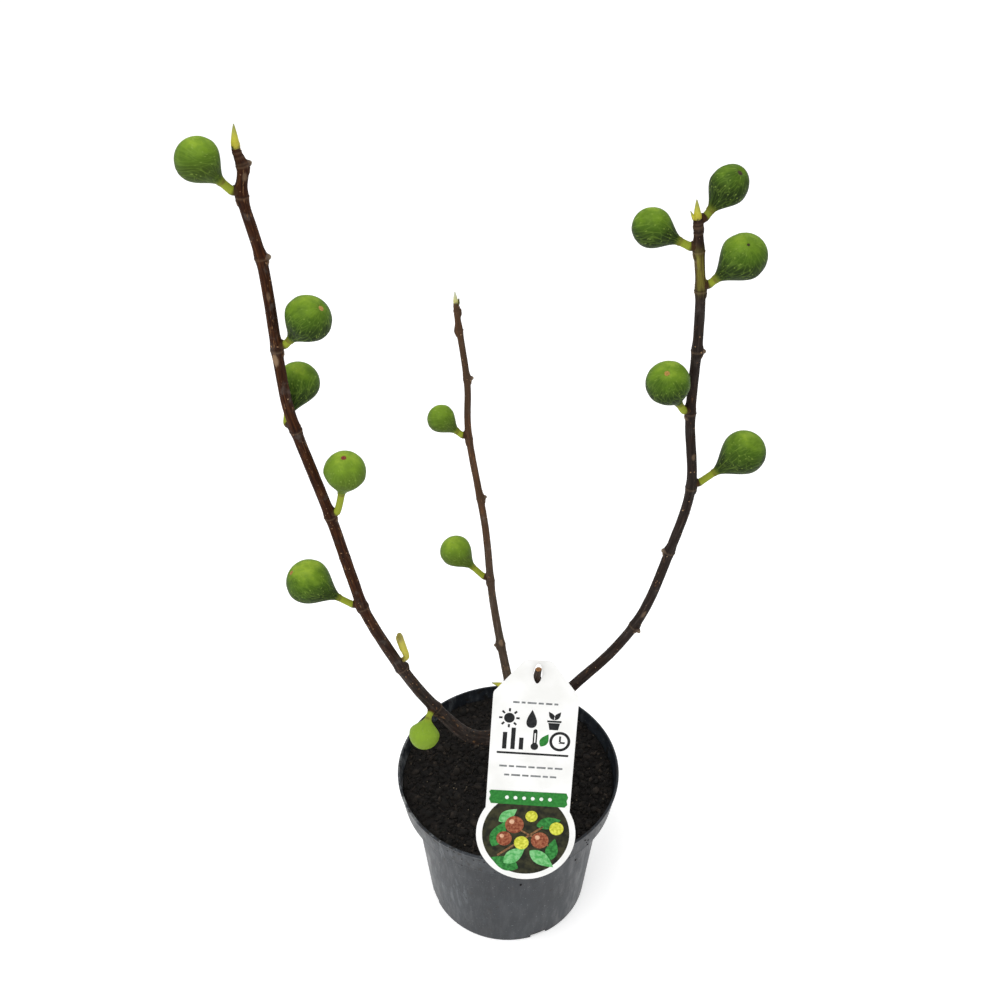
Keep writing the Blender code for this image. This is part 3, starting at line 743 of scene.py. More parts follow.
def leaf_stalk():
    """The stub of a cut leaf stalk: fleshy yellow-green, browned at its foot and torn at its top."""
    stops = ((0.0, "5c4322"), (0.1, "a39c2e"), (0.4, "bcb438"), (0.8, "b3ab3a"), (1.0, "9a8f40"))
    upward = {"mark": "from_foot", "shift": -0.18, "spread": 0.36}
    grooves = (1.8, 2.0, 0.4, 0.4)
    return toned_finish("leaf_stalk", {"Roughness": 0.5}, 1.8, stops, grain=0.2, relief=grooves, **upward)


def compost_finish(name, stops, size):
    """Damp peat and bark: matt, near black, each crumb a slightly different brown."""
    constants = {"Roughness": 0.92, "Specular IOR Level": 0.3}
    return toned_finish(name, constants, size, stops, detail=3.0, relief=(0.6, 4.0, 0.8, 0.6))


def white_plastic_card():
    """A tag of thin white polypropylene sheet: bright, satin, a trace of grain from the press."""
    constants = {"Roughness": 0.38, "IOR": 1.49}
    stops = ((0.35, "efefec"), (0.7, "fbfbfa"))
    grain = (0.5, 2.0, 0.06, 0.1)
    return toned_finish("white_plastic_card", constants, 22.0, stops, detail=3.0, relief=grain)


def ink(name, dark, light, size=2.0):
    """Ink on the card: flat, nearly matt colour, slightly uneven, as offset print is."""
    constants = {"Roughness": 0.55, "Specular IOR Level": 0.15}
    return toned_finish(name, constants, size, ((0.38, dark), (0.64, light)), detail=4.0)


def rough_noise(places, size):
    """Smooth noise of about -1 to 1 at each place, with features of a given size."""
    flat = (np.asarray(places, float) / size).reshape(-1, 3)
    return np.array([noise.noise(place) for place in flat]).reshape(np.shape(places)[:-1])


def smooth_share(value, low, high):
    """From 0 at one value to 1 at another, with soft ends."""
    share = np.clip((value - low) / (high - low), 0, 1)
    return share * share * (3 - 2 * share)


def wrapped(angle):
    """An angle brought between half a turn back and half a turn on."""
    return (angle + np.pi) % (2 * np.pi) - np.pi


def ring_turns(around):
    """Evenly spaced angles for the points of a ring."""
    return np.arange(around) * 2 * np.pi / around


def on_rings(turns, radius, along):
    """Points on rings round an upright axis, one ring for each height along it."""
    return np.stack(np.broadcast_arrays(np.cos(turns) * radius, np.sin(turns) * radius, along[:, None]), -1)


def ring_faces(rings, around):
    """Faces between rings of points, and a fan at either end to the two poles that follow them."""
    here = np.arange(around)
    after = (here + 1) % around
    faces = []
    for ring in range(rings - 1):
        low, high = ring * around, (ring + 1) * around
        faces += np.stack([low + here, low + after, high + after, high + here], 1).tolist()
    first_pole, last_ring = rings * around, (rings - 1) * around
    faces += [[first_pole, int(b), int(a)] for a, b in zip(here, after)]
    faces += [[first_pole + 1, int(last_ring + a), int(last_ring + b)] for a, b in zip(here, after)]
    return faces


def sides_along(headings):
    """A side direction for each heading that turns as little as possible along the line."""
    helper = np.array((0.35, -0.2, 0.9)) if abs(headings[0][2]) < 0.8 else np.array((0.9, -0.3, 0.2))
    side = unit(np.cross(headings[0], helper))
    sides = []
    for heading in headings:
        side = unit(side - heading * side.dot(heading))
        sides.append(side)
    return np.array(sides)


def frame_along(line, along):
    """At each place on a line, where it heads and two directions square to that."""
    headings = line.heading(along)
    sides = sides_along(headings)
    return headings, sides, np.cross(headings, sides)


def tube(line, along, radii):
    """A closed skin of rings round a line. Returns its points, faces and each ring's frame."""
    centres = line.at(along)
    headings, sides, others = frame_along(line, along)
    around = radii.shape[1]
    turns = ring_turns(around)[:, None]
    spokes = np.cos(turns) * sides[:, None] + np.sin(turns) * others[:, None]
    rings = centres[:, None] + spokes * radii[:, :, None]
    points = np.concatenate([rings.reshape(-1, 3), centres[:1], centres[-1:]])
    return points, ring_faces(len(along), around), headings, sides


def with_poles(values):
    """Values of all ring points, with those of the two poles after them."""
    values = np.asarray(values, float)
    flat = values.reshape(-1, *values.shape[2:])
    return np.concatenate([flat, values[0].mean(0)[None], values[-1].mean(0)[None]])


def per_ring(values, around):
    """One value for each ring, for all its points and for the poles."""
    return with_poles(np.broadcast_to(values[:, None], (len(values), around)))


def joined(parts):
    """Points and faces of several parts as those of one mesh."""
    faces, offset = [], 0
    for points, part_faces, *_ in parts:
        faces += [[corner + offset for corner in face] for face in part_faces]
        offset += len(points)
    return np.concatenate([points for points, *_ in parts]), faces


def plain_mesh(name, points, faces):
    """A mesh in metres from points in millimetres."""
    mesh = bpy.data.meshes.new(name)
    mesh.from_pydata((points * MM).tolist(), [], faces)
    return mesh


def in_scene(name, data):
    """A new object that is linked to the scene."""
    made = bpy.data.objects.new(name, data)
    bpy.context.scene.collection.objects.link(made)
    return made


def finished_mesh(draft, *helpers):
    """The plain mesh that a draft's modifiers or its curve give. The draft and its helpers go."""
    depsgraph = bpy.context.evaluated_depsgraph_get()
    mesh = bpy.data.meshes.new_from_object(draft.evaluated_get(depsgraph))
    for item in (draft, *helpers):
        bpy.data.objects.remove(item, do_unlink=True)
    return mesh


def hand_over(name, mesh, finish, nodes=()):
    """Puts a finished mesh in the scene, on the part's one body."""
    piece = in_scene(name, mesh)
    mesh.materials.clear()
    mesh.materials.append(finish)
    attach(piece, BODY)
    if nodes:
        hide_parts(*nodes)
    return piece


def make_piece(name, parts, finish, nodes=()):
    """One finished piece from parts of (points in mm, faces, {mark: its values})."""
    mesh = plain_mesh(name, *joined(parts))
    for mark in parts[0][2]:
        values = np.concatenate([np.asarray(part[2][mark], np.float32) for part in parts])
        kind, field = ("FLOAT_VECTOR", "vector") if values.ndim == 2 else ("FLOAT", "value")
        mesh.attributes.new(mark, kind, "POINT").data.foreach_set(field, values.ravel())
    mesh.shade_smooth()
    return hand_over(name, mesh, finish, nodes)


def bark_tone(stem, heights):
    """How grey and how olive the bark is at each height of a stem."""
    grey = 1 - smooth_share(heights, *stem.grey)
    low, high, most = stem.olive
    middle, reach = (low + high) / 2, (high - low) / 2
    return grey * 0.9, most * np.exp(-(((heights - middle) / reach) ** 4))


def build_stem(stem, bark):
    """Bark with long wrinkles, a ring scar at every node and the pad where each leaf stood."""
    along = np.arange(FORK_REACH - 1.5, stem.wood_end + 0.4, BARK_STEP)
    up = along[:, None]
    _, sides, others = frame_along(stem.line, along)
    turns = ring_turns(BARK_AROUND)
    slimmer = 1 - 0.2 * smooth_share(along, stem.wood_end - 18.0, stem.wood_end)
    plain = (stem.radius(along) * slimmer)[:, None]
    place = on_rings(turns, stem.thick / 2, along)
    seed = np.array((stem.bearing, 0.0, 0.0))
    wrinkles = rough_noise(place * (1.0, 1.0, 0.14) + seed, WRINKLE_SIZE)
    lumps = rough_noise(place * (1.0, 1.0, 0.45) + seed, LUMP_SIZE)
    radii = plain * (1 + LUMP_SHARE * lumps + WRINKLE_SHARE * wrinkles)
    grey, olive = bark_tone(stem, stem.line.at(along)[:, 2])
    dark = radii * 0 + stem.shade * (1 - olive[:, None])
    scar = np.full_like(radii, stem.paleness)

    def around_from(mark, bearing):
        """How far round the bark each point is from a bearing at a mark along the stem."""
        index = int(np.argmin(np.abs(along - mark)))
        outward = stem.outward(mark, bearing)
        middle = math.atan2(float(outward.dot(others[index])), float(outward.dot(sides[index])))
        return wrapped(turns - middle) * plain

    rings = [(node, 1.0) for node in stem.nodes] + [(FORK_REACH - 2.0, 1.3)]
    rings += [(stem.wood_end - gap, 0.7) for gap in (2.2, 5.2, 8.6)]
    for mark, size in rings:
        gap = (up - mark + 0.4) / RING_WIDE + 0.18 * np.sin(turns * 2 + mark)
        ridge = np.exp(-(gap**2))
        groove = np.exp(-((gap - GROOVE_AFTER) ** 2))
        radii = radii + size * (RING_HIGH * ridge - GROOVE_DEEP * groove)
        dark = np.maximum(dark, size * 0.7 * groove)
        scar = np.maximum(scar, 0.2 * size * ridge)
    for node, (bearing, bulge) in stem.scars.items():
        mark = stem.nodes[node] + (FIG_FOOT_RISE if bulge == FIG_SPUR_HIGH else 0.0)
        around = around_from(mark, bearing)
        spur = np.exp(-((around / 3.2) ** 2) - ((up - mark) / 3.0) ** 2)
        away = np.hypot(around / LEAF_PAD_WIDE, (up - stem.nodes[node] + LEAF_PAD_BELOW) / LEAF_PAD_LONG)
        pad = 1 / (1 + np.exp((away - 1.0) * 7))
        dish = np.exp(-((away / 0.6) ** 2))
        radii = radii + bulge * spur + LEAF_PAD_HIGH * pad - LEAF_DISH_DEEP * dish
        dark = np.maximum(dark, 0.6 * np.exp(-(((away - 1.15) / 0.28) ** 2)))
        dark = np.maximum(dark, 0.35 * spur)
        scar = np.maximum(scar, 0.5 * (away < 0.85) * np.exp(-((away / 0.8) ** 2)))
    for height, bearing, long, wide, share in stem.worn:
        mark = stem.line.along_at_height(height)
        away = np.hypot(around_from(mark, bearing) / wide, (up - mark) / long) + 0.35 * wrinkles
        patch = 1 - smooth_share(away, 0.6, 1.1)
        scar = np.maximum(scar, max(share, 0) * patch)
        dark = np.maximum(dark, max(-share, 0) * patch)
    radii[-1] *= 0.86
    points, faces, *_ = tube(stem.line, along, radii)
    values = {"bark_place": with_poles(place * MM), "dark": with_poles(dark), "scar": with_poles(scar)}
    values |= {"grey": per_ring(grey, BARK_AROUND), "olive": per_ring(olive, BARK_AROUND)}
    nodes = (stem.name + "_lower", stem.name + "_upper")
    return make_piece(stem.name + "_bark", [(points, faces, values)], bark, nodes)


def trunk_line():
    """From the level foot through the fork to the leader's end, in one smooth line."""
    upright = TRUNK_FOOT + UP * 16.0
    middle = (LEADER_FOOT + LEADER_END) / 2 + UP * 3.0
    return Line([TRUNK_FOOT, upright, TRUNK_FORK, LEADER_FOOT, middle, LEADER_END])


def trunk_radius(heights):
    """Root flare, waist, fork and then the leader's slow taper, read by height."""
    marks = [TRUNK_FOOT[2], TRUNK_FORK[2], LEADER_FOOT[2], LEADER_END[2]]
    widths = [TRUNK_WAIST_THICK, TRUNK_FORK_THICK, LEADER_FOOT_THICK, LEADER_END_THICK]
    flare = (TRUNK_FLARE_THICK - TRUNK_WAIST_THICK) * np.exp(-(heights - TRUNK_FOOT[2]) / TRUNK_FLARE_HIGH)
    return (np.interp(heights, marks, widths) + flare) / 2


def build_trunk(bark):
    """The foot and the starts of the stems, melted into one fork, with older, rougher bark."""
    line = trunk_line()
    along = np.linspace(0.0, line.along_at_height(LEADER_FOOT[2] + 6.0), 60)
    heights = line.at(along)[:, 2]
    lobes = np.exp(-(heights - TRUNK_FOOT[2]) / 12.0)[:, None] * np.sin(ring_turns(FORK_AROUND) * 4 + 0.7)
    parts = [tube(line, along, trunk_radius(heights)[:, None] * (1 + ROOT_LOBE_SHARE * lobes))]
    along = np.linspace(0.0, FORK_REACH, 40)
    for stem in STEMS:
        parts.append(tube(stem.line, along, np.repeat(stem.radius(along)[:, None], FORK_AROUND, 1)))
    draft = in_scene("fork_draft", plain_mesh("fork_parts", *joined(parts)))
    remesh = draft.modifiers.new("melt", "REMESH")
    remesh.mode = "VOXEL"
    remesh.voxel_size = FORK_GRAIN * MM
    soften = draft.modifiers.new("soften", "SMOOTH")
    soften.factor = 0.5
    soften.iterations = 9
    melted = finished_mesh(draft)
    count = len(melted.vertices)
    places, normals = np.zeros(count * 3, np.float32), np.zeros(count * 3, np.float32)
    melted.vertices.foreach_get("co", places)
    melted.vertices.foreach_get("normal", normals)
    places = places.reshape(-1, 3).astype(float) / MM
    bark_place, nearest = places_on_lines(places, [line] + [stem.line for stem in STEMS])
    wrinkles = rough_noise(bark_place * (1.0, 1.0, 0.16), 1.7)
    lumps = rough_noise(places, 6.0)
    cracks = np.clip(-rough_noise(bark_place * (1.0, 1.0, 0.1) + 40.0, 2.4) - 0.18, 0, 1)
    # The relief fades at the level foot, and where each stem's own bark takes over
    lift = 0.28 * wrinkles + 0.45 * lumps - 1.1 * cracks
    lift *= smooth_share(places[:, 2], TRUNK_FOOT[2] - 0.5, TRUNK_FOOT[2] + 1.5)
    faded = np.ones(count)
    for stem in STEMS:
        gap = np.linalg.norm(places - stem.line.at(FORK_REACH), axis=1)
        faded *= smooth_share(gap, 4.0, 14.0)
    lift *= 0.25 + 0.75 * faded
    moved = places + normals.reshape(-1, 3) * lift[:, None]
    moved[:, 2] = np.maximum(moved[:, 2], TRUNK_FOOT[2])
    values = {
        "bark_place": bark_place * MM,
        "grey": np.where(nearest == 0, 0.95, 0.85),
        "olive": np.zeros(count),
        "dark": np.clip(cracks * 2.2, 0, 0.7),
        "scar": np.zeros(count),
    }
    faces = [list(polygon.vertices) for polygon in melted.polygons]
    return make_piece("trunk_bark", [(moved, faces, values)], bark, ("trunk",))


def places_on_lines(places, lines):
    """For each place, its coordinates round and along the nearest line, and that line's index."""
    best = np.full(len(places), 1e9)
    found = np.zeros((len(places), 3))
    nearest = np.zeros(len(places), int)
    for index, line in enumerate(lines):
        along = np.arange(0.0, min(line.long, 120.0), 1.0)
        centres = line.at(along)
        gaps = np.linalg.norm(places[:, None] - centres[None], axis=2)
        closest = gaps.argmin(1)
        gap = gaps[np.arange(len(places)), closest]
        out = places - centres[closest]
        onward, across, other = [(out * axes[closest]).sum(1) for axes in frame_along(line, along)]
        better = gap < best
        found[better] = np.stack([across, other, along[closest] + onward], 1)[better]
        nearest[better] = index
        best = np.minimum(best, gap)
    return found, nearest


def build_leader(bark, wood):
    """The pruned leader, cut off at a slant, that carries the tag."""
    line = trunk_line()
    start = line.along_at_height(LEADER_FOOT[2] + 3.0)
    along = np.arange(start, line.long + 0.01, 0.7)
    turns = ring_turns(LEADER_AROUND)
    place = on_rings(turns, 3, along)
    wrinkles = rough_noise(place * (1.0, 1.0, 0.14) + 7.0, 1.2)
    radii = trunk_radius(line.at(along)[:, 2])[:, None] * (1 + 0.045 * wrinkles)
    dark = np.zeros_like(radii)
    for mark in (start + 1.5, start + 27.0, line.long - 19.0):
        gap = (along[:, None] - mark) / 0.8
        radii = radii + 0.3 * np.exp(-(gap**2)) + 0.5 * np.exp(-((gap / 4) ** 2)) * np.sin(turns + mark)
        dark = np.maximum(dark, 0.5 * np.exp(-((gap - 1.5) ** 2)))
    radii[-1] *= 0.93
    points, faces, headings, _ = tube(line, along, radii)
    slant = smooth_share(along, line.long - 7.0, line.long)[:, None] * 1.3 * (1 + np.cos(turns - 0.6))
    points -= with_poles(slant[:, :, None] * headings[:, None])
    none = with_poles(radii * 0)
    values = {"bark_place": with_poles(place * MM), "grey": none + 0.75, "olive": none, "scar": none}
    values["dark"] = with_poles(dark)
    piece = make_piece("cut_leader_bark", [(points, faces, values)], bark, ("cut_leader",))
    piece.data.materials.append(wood)
    last_ring = (len(along) - 1) * LEADER_AROUND
    for polygon in piece.data.polygons:
        if len(polygon.vertices) == 3 and min(polygon.vertices[1:]) >= last_ring:
            polygon.material_index = 1
            polygon.use_smooth = False


def build_fig(name, fig, skin):
    """A pear-shaped fig: faint ribs that meet at a sunken eye, a ringed neck and a rooted stalk.

    Returns where its eye is.
    """
    line = fig.line()
    round_long = fig.long * FIG_ROUND_SHARE
    widest_at = line.long - round_long
    neck_at = widest_at - fig.neck_long(line.long)
    round_marks = line.long - round_long * (1 - np.sin(np.linspace(0.0, np.pi / 2, 34)))
    along = np.unique(np.concatenate([np.arange(0.0, widest_at, 0.75), round_marks]))[:-1]
    plain = fig.radius(line.long - along, line.long)[:, None]
    widest = fig.thick / 2
    middle = line.at(widest_at)
    seed = fig.bearing + fig.rise
    turns = ring_turns(FIG_AROUND)
    # The pattern and the ribs turn from the stalk's own axis to the eye's
    bare, _, headings, sides = tube(line, along, np.broadcast_to(plain, (len(along), FIG_AROUND)))
    near_eye = smooth_share(along, (neck_at + widest_at) / 2, widest_at + round_long * 0.6)[:, None]
    axes = unit(headings * (1 - near_eye) + fig.eye * near_eye)
    centres = line.at(along) * (1 - near_eye) + middle * near_eye
    across = unit(sides - axes * (sides * axes).sum(1, keepdims=True))
    other = np.cross(axes, across)
    out = bare[:-2].reshape(len(along), FIG_AROUND, 3) - centres[:, None]
    phi = np.arctan2((out * other[:, None]).sum(2), (out * across[:, None]).sum(2))
    ribs = sum(np.sin(phi * count + seed * phase) * high for count, phase, high in FIG_RIBS)
    dents = rough_noise(out + seed, FIG_DENT_SIZE)
    body = np.clip((plain / widest - 0.4) / 0.6, 0, 1)
    radii = plain * (1 + body * (FIG_RIB_SHARE * ribs + FIG_DENT_SHARE * dents))
    collar = np.exp(-(((along - neck_at - 0.5) / 0.8) ** 2))[:, None]
    bracts = 0.5 + 0.5 * np.sin(turns * 3 + seed)[None]
    radii = radii + collar * (0.15 + 0.3 * bracts) + 0.8 * np.exp(-((along / 3.2) ** 2))[:, None]
    points, faces, *_ = tube(line, along, radii)
    # The eye is where the fruit faces it most, and its skin dips there inside a low lip
    away = points - middle
    reach = np.linalg.norm(away, axis=1)
    past_neck = np.append(np.repeat(along, FIG_AROUND), (0, line.long)) > neck_at
    eye_point = points[int(((away @ fig.eye) / reach * past_neck).argmax())]
    gap = np.linalg.norm(points - eye_point, axis=1) / fig.eye_size
    depth = (2.2 if fig.age > OPEN_EYE_AGE else 0.9) * fig.eye_size
    dimple = 0.28 * np.exp(-(((gap - 3.4) / 1.1) ** 2)) - depth * np.exp(-((gap / 2.0) ** 2))
    points = points + away / reach[:, None] * dimple[:, None]
    toward = away / np.maximum(reach, widest)[:, None]
    darker = min(fig.lime, 0)
    on_stalk = 1 - smooth_share(along, neck_at - 1.5, neck_at + 5.0)
    values = {
        "skin_place": with_poles((on_rings(phi, widest, along) + seed) * MM),
        "lime": np.full(len(points), max(fig.lime, 0)),
        "stalk": per_ring((0.9 + darker) * on_stalk, FIG_AROUND),
        "ring": with_poles(collar * 0.75 * (0.4 + 0.6 * bracts)),
        "foot": per_ring(1 - smooth_share(along, 2.4, 4.6), FIG_AROUND),
        # Painted light and shade: lighter where the skin faces up, darker where it faces down; a fig with
        # lime below zero is darker all over
        "sunny": np.clip(0.3 + 0.62 * toward[:, 2] + 0.04 * (toward @ fig.eye) + darker, 0, 1),
    }
    make_piece(name + "_skin", [(points, faces, values)], skin, (name,))
    return eye_point


def eye_parts(fig, eye_point):
    """Two rings of small scales that close over the eye of a fig."""
    heading, size = fig.eye, fig.eye_size
    tip = eye_point - heading * (0.9 * size if fig.age > OPEN_EYE_AGE else 0.1)
    side = sides_along([heading])[0]
    other = np.cross(heading, side)
    parts = []
    for count, offset, outer, inner, lift, wide in EYE_RINGS:
        for index in range(count):
            turn = 2 * math.pi * (index + offset) / count + 0.15 * math.sin(index * 2.3)
            out = side * math.cos(turn) + other * math.sin(turn)
            across = np.cross(heading, out)
            base = tip + out * outer * size + heading * (lift - 0.5)
            point = tip + out * inner * size + heading * (lift - 0.35)
            middle = (base + point) / 2 + heading * 0.2
            base_half, middle_half = 0.4 * wide * size, 0.5 * wide * size
            # Corners of the underside: where, how far across, how far down, and the scale's thickness there
            corners = (
                (base, -base_half, 0.25, 0.2),
                (base, base_half, 0.25, 0.2),
                (middle, middle_half, 0.2, 0.4),
                (middle, -middle_half, 0.2, 0.4),
                (point, 0.12, 0.15, 0.25),
                (point, -0.12, 0.15, 0.25),
            )
            under = [spot + across * aside - heading * down for spot, aside, down, _ in corners]
            over = [spot + heading * corner[3] for spot, corner in zip(under, corners)]
            parts.append((np.array(under + over), EYE_SCALE_FACES, {"age": np.full(12, fig.age)}))
    return parts


def bud_part(foot, heading, long, thick, wrap, around=28, form=POINTED):
    """One bud of scales wrapped in a spiral: widest near its foot, with a pointed or blunt tip."""
    line = Line([foot - heading * thick * 0.2, foot + heading * long * 0.5, foot + heading * long])
    along = np.concatenate([np.linspace(0, line.long * 0.93, 26), line.long * np.array((0.965, 0.99))])
    share = along / line.long
    spiral = ((ring_turns(around) / (2 * np.pi) + share[:, None] * wrap) % 1.0) ** 1.5
    radii = thick * np.interp(share, *form)[:, None] * (0.93 + 0.12 * spiral)
    points, faces, *_ = tube(line, along, radii)
    return points, faces, {"from_foot": per_ring(share, around)}


def build_buds(green, brown):
    """The long tip buds, the two green side buds, and the blunt resting buds on the other nodes."""
    for stem in STEMS:
        foot = stem.line.at(stem.wood_end + 0.2)
        heading = stem.line.heading(stem.line.long - 1.0)
        parts = [bud_part(foot, heading, stem.bud_long, stem.tip_thick * 0.76, 0.8)]
        if stem is MIDDLE:
            side = stem.outward(stem.wood_end, 0)
            scale_foot = foot + side * stem.tip_thick * 0.3 - heading * 1.0
            parts.append(bud_part(scale_foot, unit(heading + side * 0.3), 4.6, 2.6, 0.5, 16))
            tip_marks, scale_marks = parts[0][2], parts[1][2]
            tip_marks["frost"] = tip_marks["from_foot"] * 0.85 + 0.1
            scale_marks["frost"] = scale_marks["from_foot"] * 0
            scale_marks["from_foot"] = scale_marks["frost"] - 0.3
        if stem is RIGHT:
            side = stem.outward(stem.wood_end, 185)
            scale_foot = foot + side * stem.tip_thick * 0.34
            lean = unit(heading + side * 0.35)
            parts.append(bud_part(scale_foot, lean, stem.bud_long * 0.5, stem.tip_thick * 0.36, 0.5, 16))
        node = (stem.name + "_tip_bud",)
        make_piece(stem.name + "_tip_bud_scales", parts, green, node)
    for name, (stem, node, bearing, long, thick) in SIDE_BUDS.items():
        along = stem.nodes[node]
        side = stem.outward(along, bearing)
        lean = long * BUD_LEAN
        heading = unit(side + stem.line.heading(along) * lean)
        out = float(stem.radius(along)) + 0.3 + thick * lean * 0.44
        foot = stem.line.at(along) + side * out - heading * SIDE_BUD_SUNK
        form, slim, finish = (POINTED, 0.75, green) if long > thick else (BLUNT, 1.0, brown)
        parts = [bud_part(foot, heading, long + 1.2, thick * slim, 0.7, 20, form)]
        make_piece(name + "_scales", parts, finish, (name,))


def build_petiole(flesh):
    """The stub of one cut leaf stalk, grooved, swollen at its foot and torn at its top."""
    along = LEFT.nodes[1] + 6.0
    side = LEFT.outward(along, 20)
    foot = LEFT.line.at(along) + side * (float(LEFT.radius(along)) - 0.8)
    knee = foot + side * 4.1 + UP * 2.0
    end = knee - X_AXIS * PETIOLE_LEAN + UP * PETIOLE_LONG
    line = Line([foot, knee, knee + (end - knee) * 0.4, end])
    marks = np.linspace(0, line.long, 44)
    share = marks / line.long
    turns = ring_turns(PETIOLE_AROUND)
    place = on_rings(turns, 3, marks)
    plain = PETIOLE_THICK / 2 * (0.62 + 0.38 * np.minimum(1.0, share * 2))[:, None]
    fold = 1 - 0.16 * np.exp(-((wrapped(turns - 1.2) / 0.5) ** 2))
    radii = plain * fold * (1 + 0.05 * rough_noise(place, 2.6))
    radii[-1] *= 0.8
    points, faces, headings, _ = tube(line, marks, radii)
    torn = rough_noise(place[0], 1.3)
    near_top = smooth_share(share, 0.7, 1.0)[:, None]
    shift = np.minimum(near_top * (-2.6 + 2.4 * torn + 1.2 * np.cos(turns - 2.0)), 0.0)
    points += with_poles(shift[:, :, None] * headings[:, None])
    points[-1] -= headings[-1] * 2.5
    values = {"from_foot": per_ring(share, PETIOLE_AROUND)}
    make_piece("petiole_stub_flesh", [(points, faces, values)], flesh, ("petiole_stub",))


def turned(profile, around):
    """Points and faces of an outline of (radius, height), turned about the pot's axis."""
    radii, heights = np.array(profile[1:-1], float).T
    rings = on_rings(ring_turns(around), radii[:, None], heights)
    poles = np.array([(0.0, 0.0, profile[0][1]), (0.0, 0.0, profile[-1][1])])
    faces = ring_faces(len(radii), around)
    return np.concatenate([rings.reshape(-1, 3), poles]), [face[::-1] for face in faces]


def arc(centre_x, centre_y, radius, start, end, steps):
    """Points on an arc, its angles in degrees."""
    turns = np.radians(np.linspace(start, end, steps + 1))
    return [(centre_x + radius * math.cos(turn), centre_y + radius * math.sin(turn)) for turn in turns]


def between(start, end, steps):
    """Evenly spaced points after the start of a straight run, the end included."""
    start, end = np.array(start, float), np.array(end, float)
    return [tuple(start + (end - start) * step / steps) for step in range(1, steps + 1)]


def pot_profile():
    """Half the pot's outline, from the middle of its floor up the inside, over the lip and down outside."""
    shoulder = POT_HIGH - POT_COLLAR_HIGH
    inner_foot = POT_FOOT_RADIUS - POT_WALL_THICK - POT_INNER_ROUND
    lip = POT_HIGH - POT_LIP_ROUND
    profile = [(0.0, POT_FLOOR_THICK)]
    profile += between(profile[-1], (inner_foot, POT_FLOOR_THICK), 6)
    profile += arc(inner_foot, POT_FLOOR_THICK + POT_INNER_ROUND, POT_INNER_ROUND, -80, 0, 4)
    wall_top = (POT_WALL_TOP_RADIUS - POT_WALL_THICK, shoulder)
    collar_foot = (POT_COLLAR_FOOT_RADIUS - POT_WALL_THICK, shoulder + POT_WALL_THICK)
    profile += between(profile[-1], wall_top, 16)
    profile += between(wall_top, collar_foot, 4)
    profile += between(collar_foot, (POT_RIM_RADIUS - POT_WALL_THICK - 0.4, lip), 6)
    profile += arc(POT_RIM_RADIUS - POT_LIP_ROUND, lip, POT_LIP_ROUND, 130, -30, 9)
    profile += [(POT_RIM_RADIUS - 0.55, POT_HIGH - 2.6), (POT_RIM_RADIUS - 0.6, POT_HIGH - 4.0)]
    profile += between(profile[-1], (POT_COLLAR_FOOT_RADIUS, shoulder + 1.2), 6)
    profile += arc(POT_COLLAR_FOOT_RADIUS - 1.0, shoulder + 1.0, 1.0, 0, -90, 4)
    profile += between(profile[-1], (POT_WALL_TOP_RADIUS + 1.3, shoulder - 0.4), 2)
    profile += [(POT_WALL_TOP_RADIUS + 0.3, shoulder - 1.2), (POT_WALL_TOP_RADIUS - 0.1, shoulder - 2.6)]
    profile += between(profile[-1], (POT_FOOT_RADIUS, POT_FOOT_ROUND), 18)
    profile += arc(POT_FOOT_RADIUS - POT_FOOT_ROUND, POT_FOOT_ROUND, POT_FOOT_ROUND, -12, -90, 5)
    return profile + between(profile[-1], (0.0, 0.0), 6)


def build_pot(plastic):
    """A thin moulded pot: rolled lip, stepped-out collar, tapered wall and a notched foot."""
    points, faces = turned(pot_profile(), POT_STEPS)
    turns = np.arctan2(points[:, 1], points[:, 0])
    reach = np.hypot(points[:, 0], points[:, 1])
    sway = sum(most * np.sin(turns * waves + phase) for most, waves, phase in POT_SWAY)
    high = np.clip(points[:, 2] / POT_HIGH, 0, 1) * (reach > POT_FLOOR_CALM)
    points[:, :2] *= (1 + sway * high / np.maximum(reach, 1))[:, None]
    draft = in_scene("pot_draft", plain_mesh("nursery_pot", points, faces))
    cutters = []
    for index in range(NOTCH_COUNT):
        bearing = NOTCH_START + 360.0 * index / NOTCH_COUNT
        work = bmesh.new()
        bmesh.ops.create_cube(work, size=1.0)
        size = Vector((NOTCH_DEEP * 2, NOTCH_WIDE, NOTCH_HIGH * 2)) * MM
        bmesh.ops.scale(work, vec=size, verts=work.verts)
        edges = {"geom": work.edges[:], "affect": "EDGES"}
        bmesh.ops.bevel(work, offset=NOTCH_ROUND * MM, segments=3, profile=0.5, **edges)
        place = Matrix.Translation(Vector(polar(bearing, POT_FOOT_RADIUS) * MM))
        work.transform(place @ Matrix.Rotation(math.radians(bearing), 4, "Z"))
        mesh = bpy.data.meshes.new("notch")
        work.to_mesh(mesh)
        work.free()
        cutters.append(in_scene("notch", mesh))
        cut = draft.modifiers.new("notch", "BOOLEAN")
        cut.operation = "DIFFERENCE"
        cut.solver = "EXACT"
        cut.object = cutters[-1]
    finished = finished_mesh(draft, *cutters)
    finished.shade_smooth()
    finished.set_sharp_from_angle(angle=math.radians(38))
    hand_over("nursery_pot", finished, plastic, ("pot",))


def compost_height(x, y):
    """The lie of the compost: soft hollows, lumps, and a slight mound at the trunk."""
    places = np.stack([x, y, x * 0], -1)
    height = sum(high * rough_noise(places + shift, size) for size, high, shift in COMPOST_WAVES)
    gap = np.hypot(x - TRUNK_FOOT[0], y - TRUNK_FOOT[1])
    mound = np.exp(-(((gap - COMPOST_MOUND_REACH) / COMPOST_MOUND_WIDE) ** 2))
    return COMPOST_TOP + height + COMPOST_MOUND_HIGH * mound - COMPOST_SETTLED


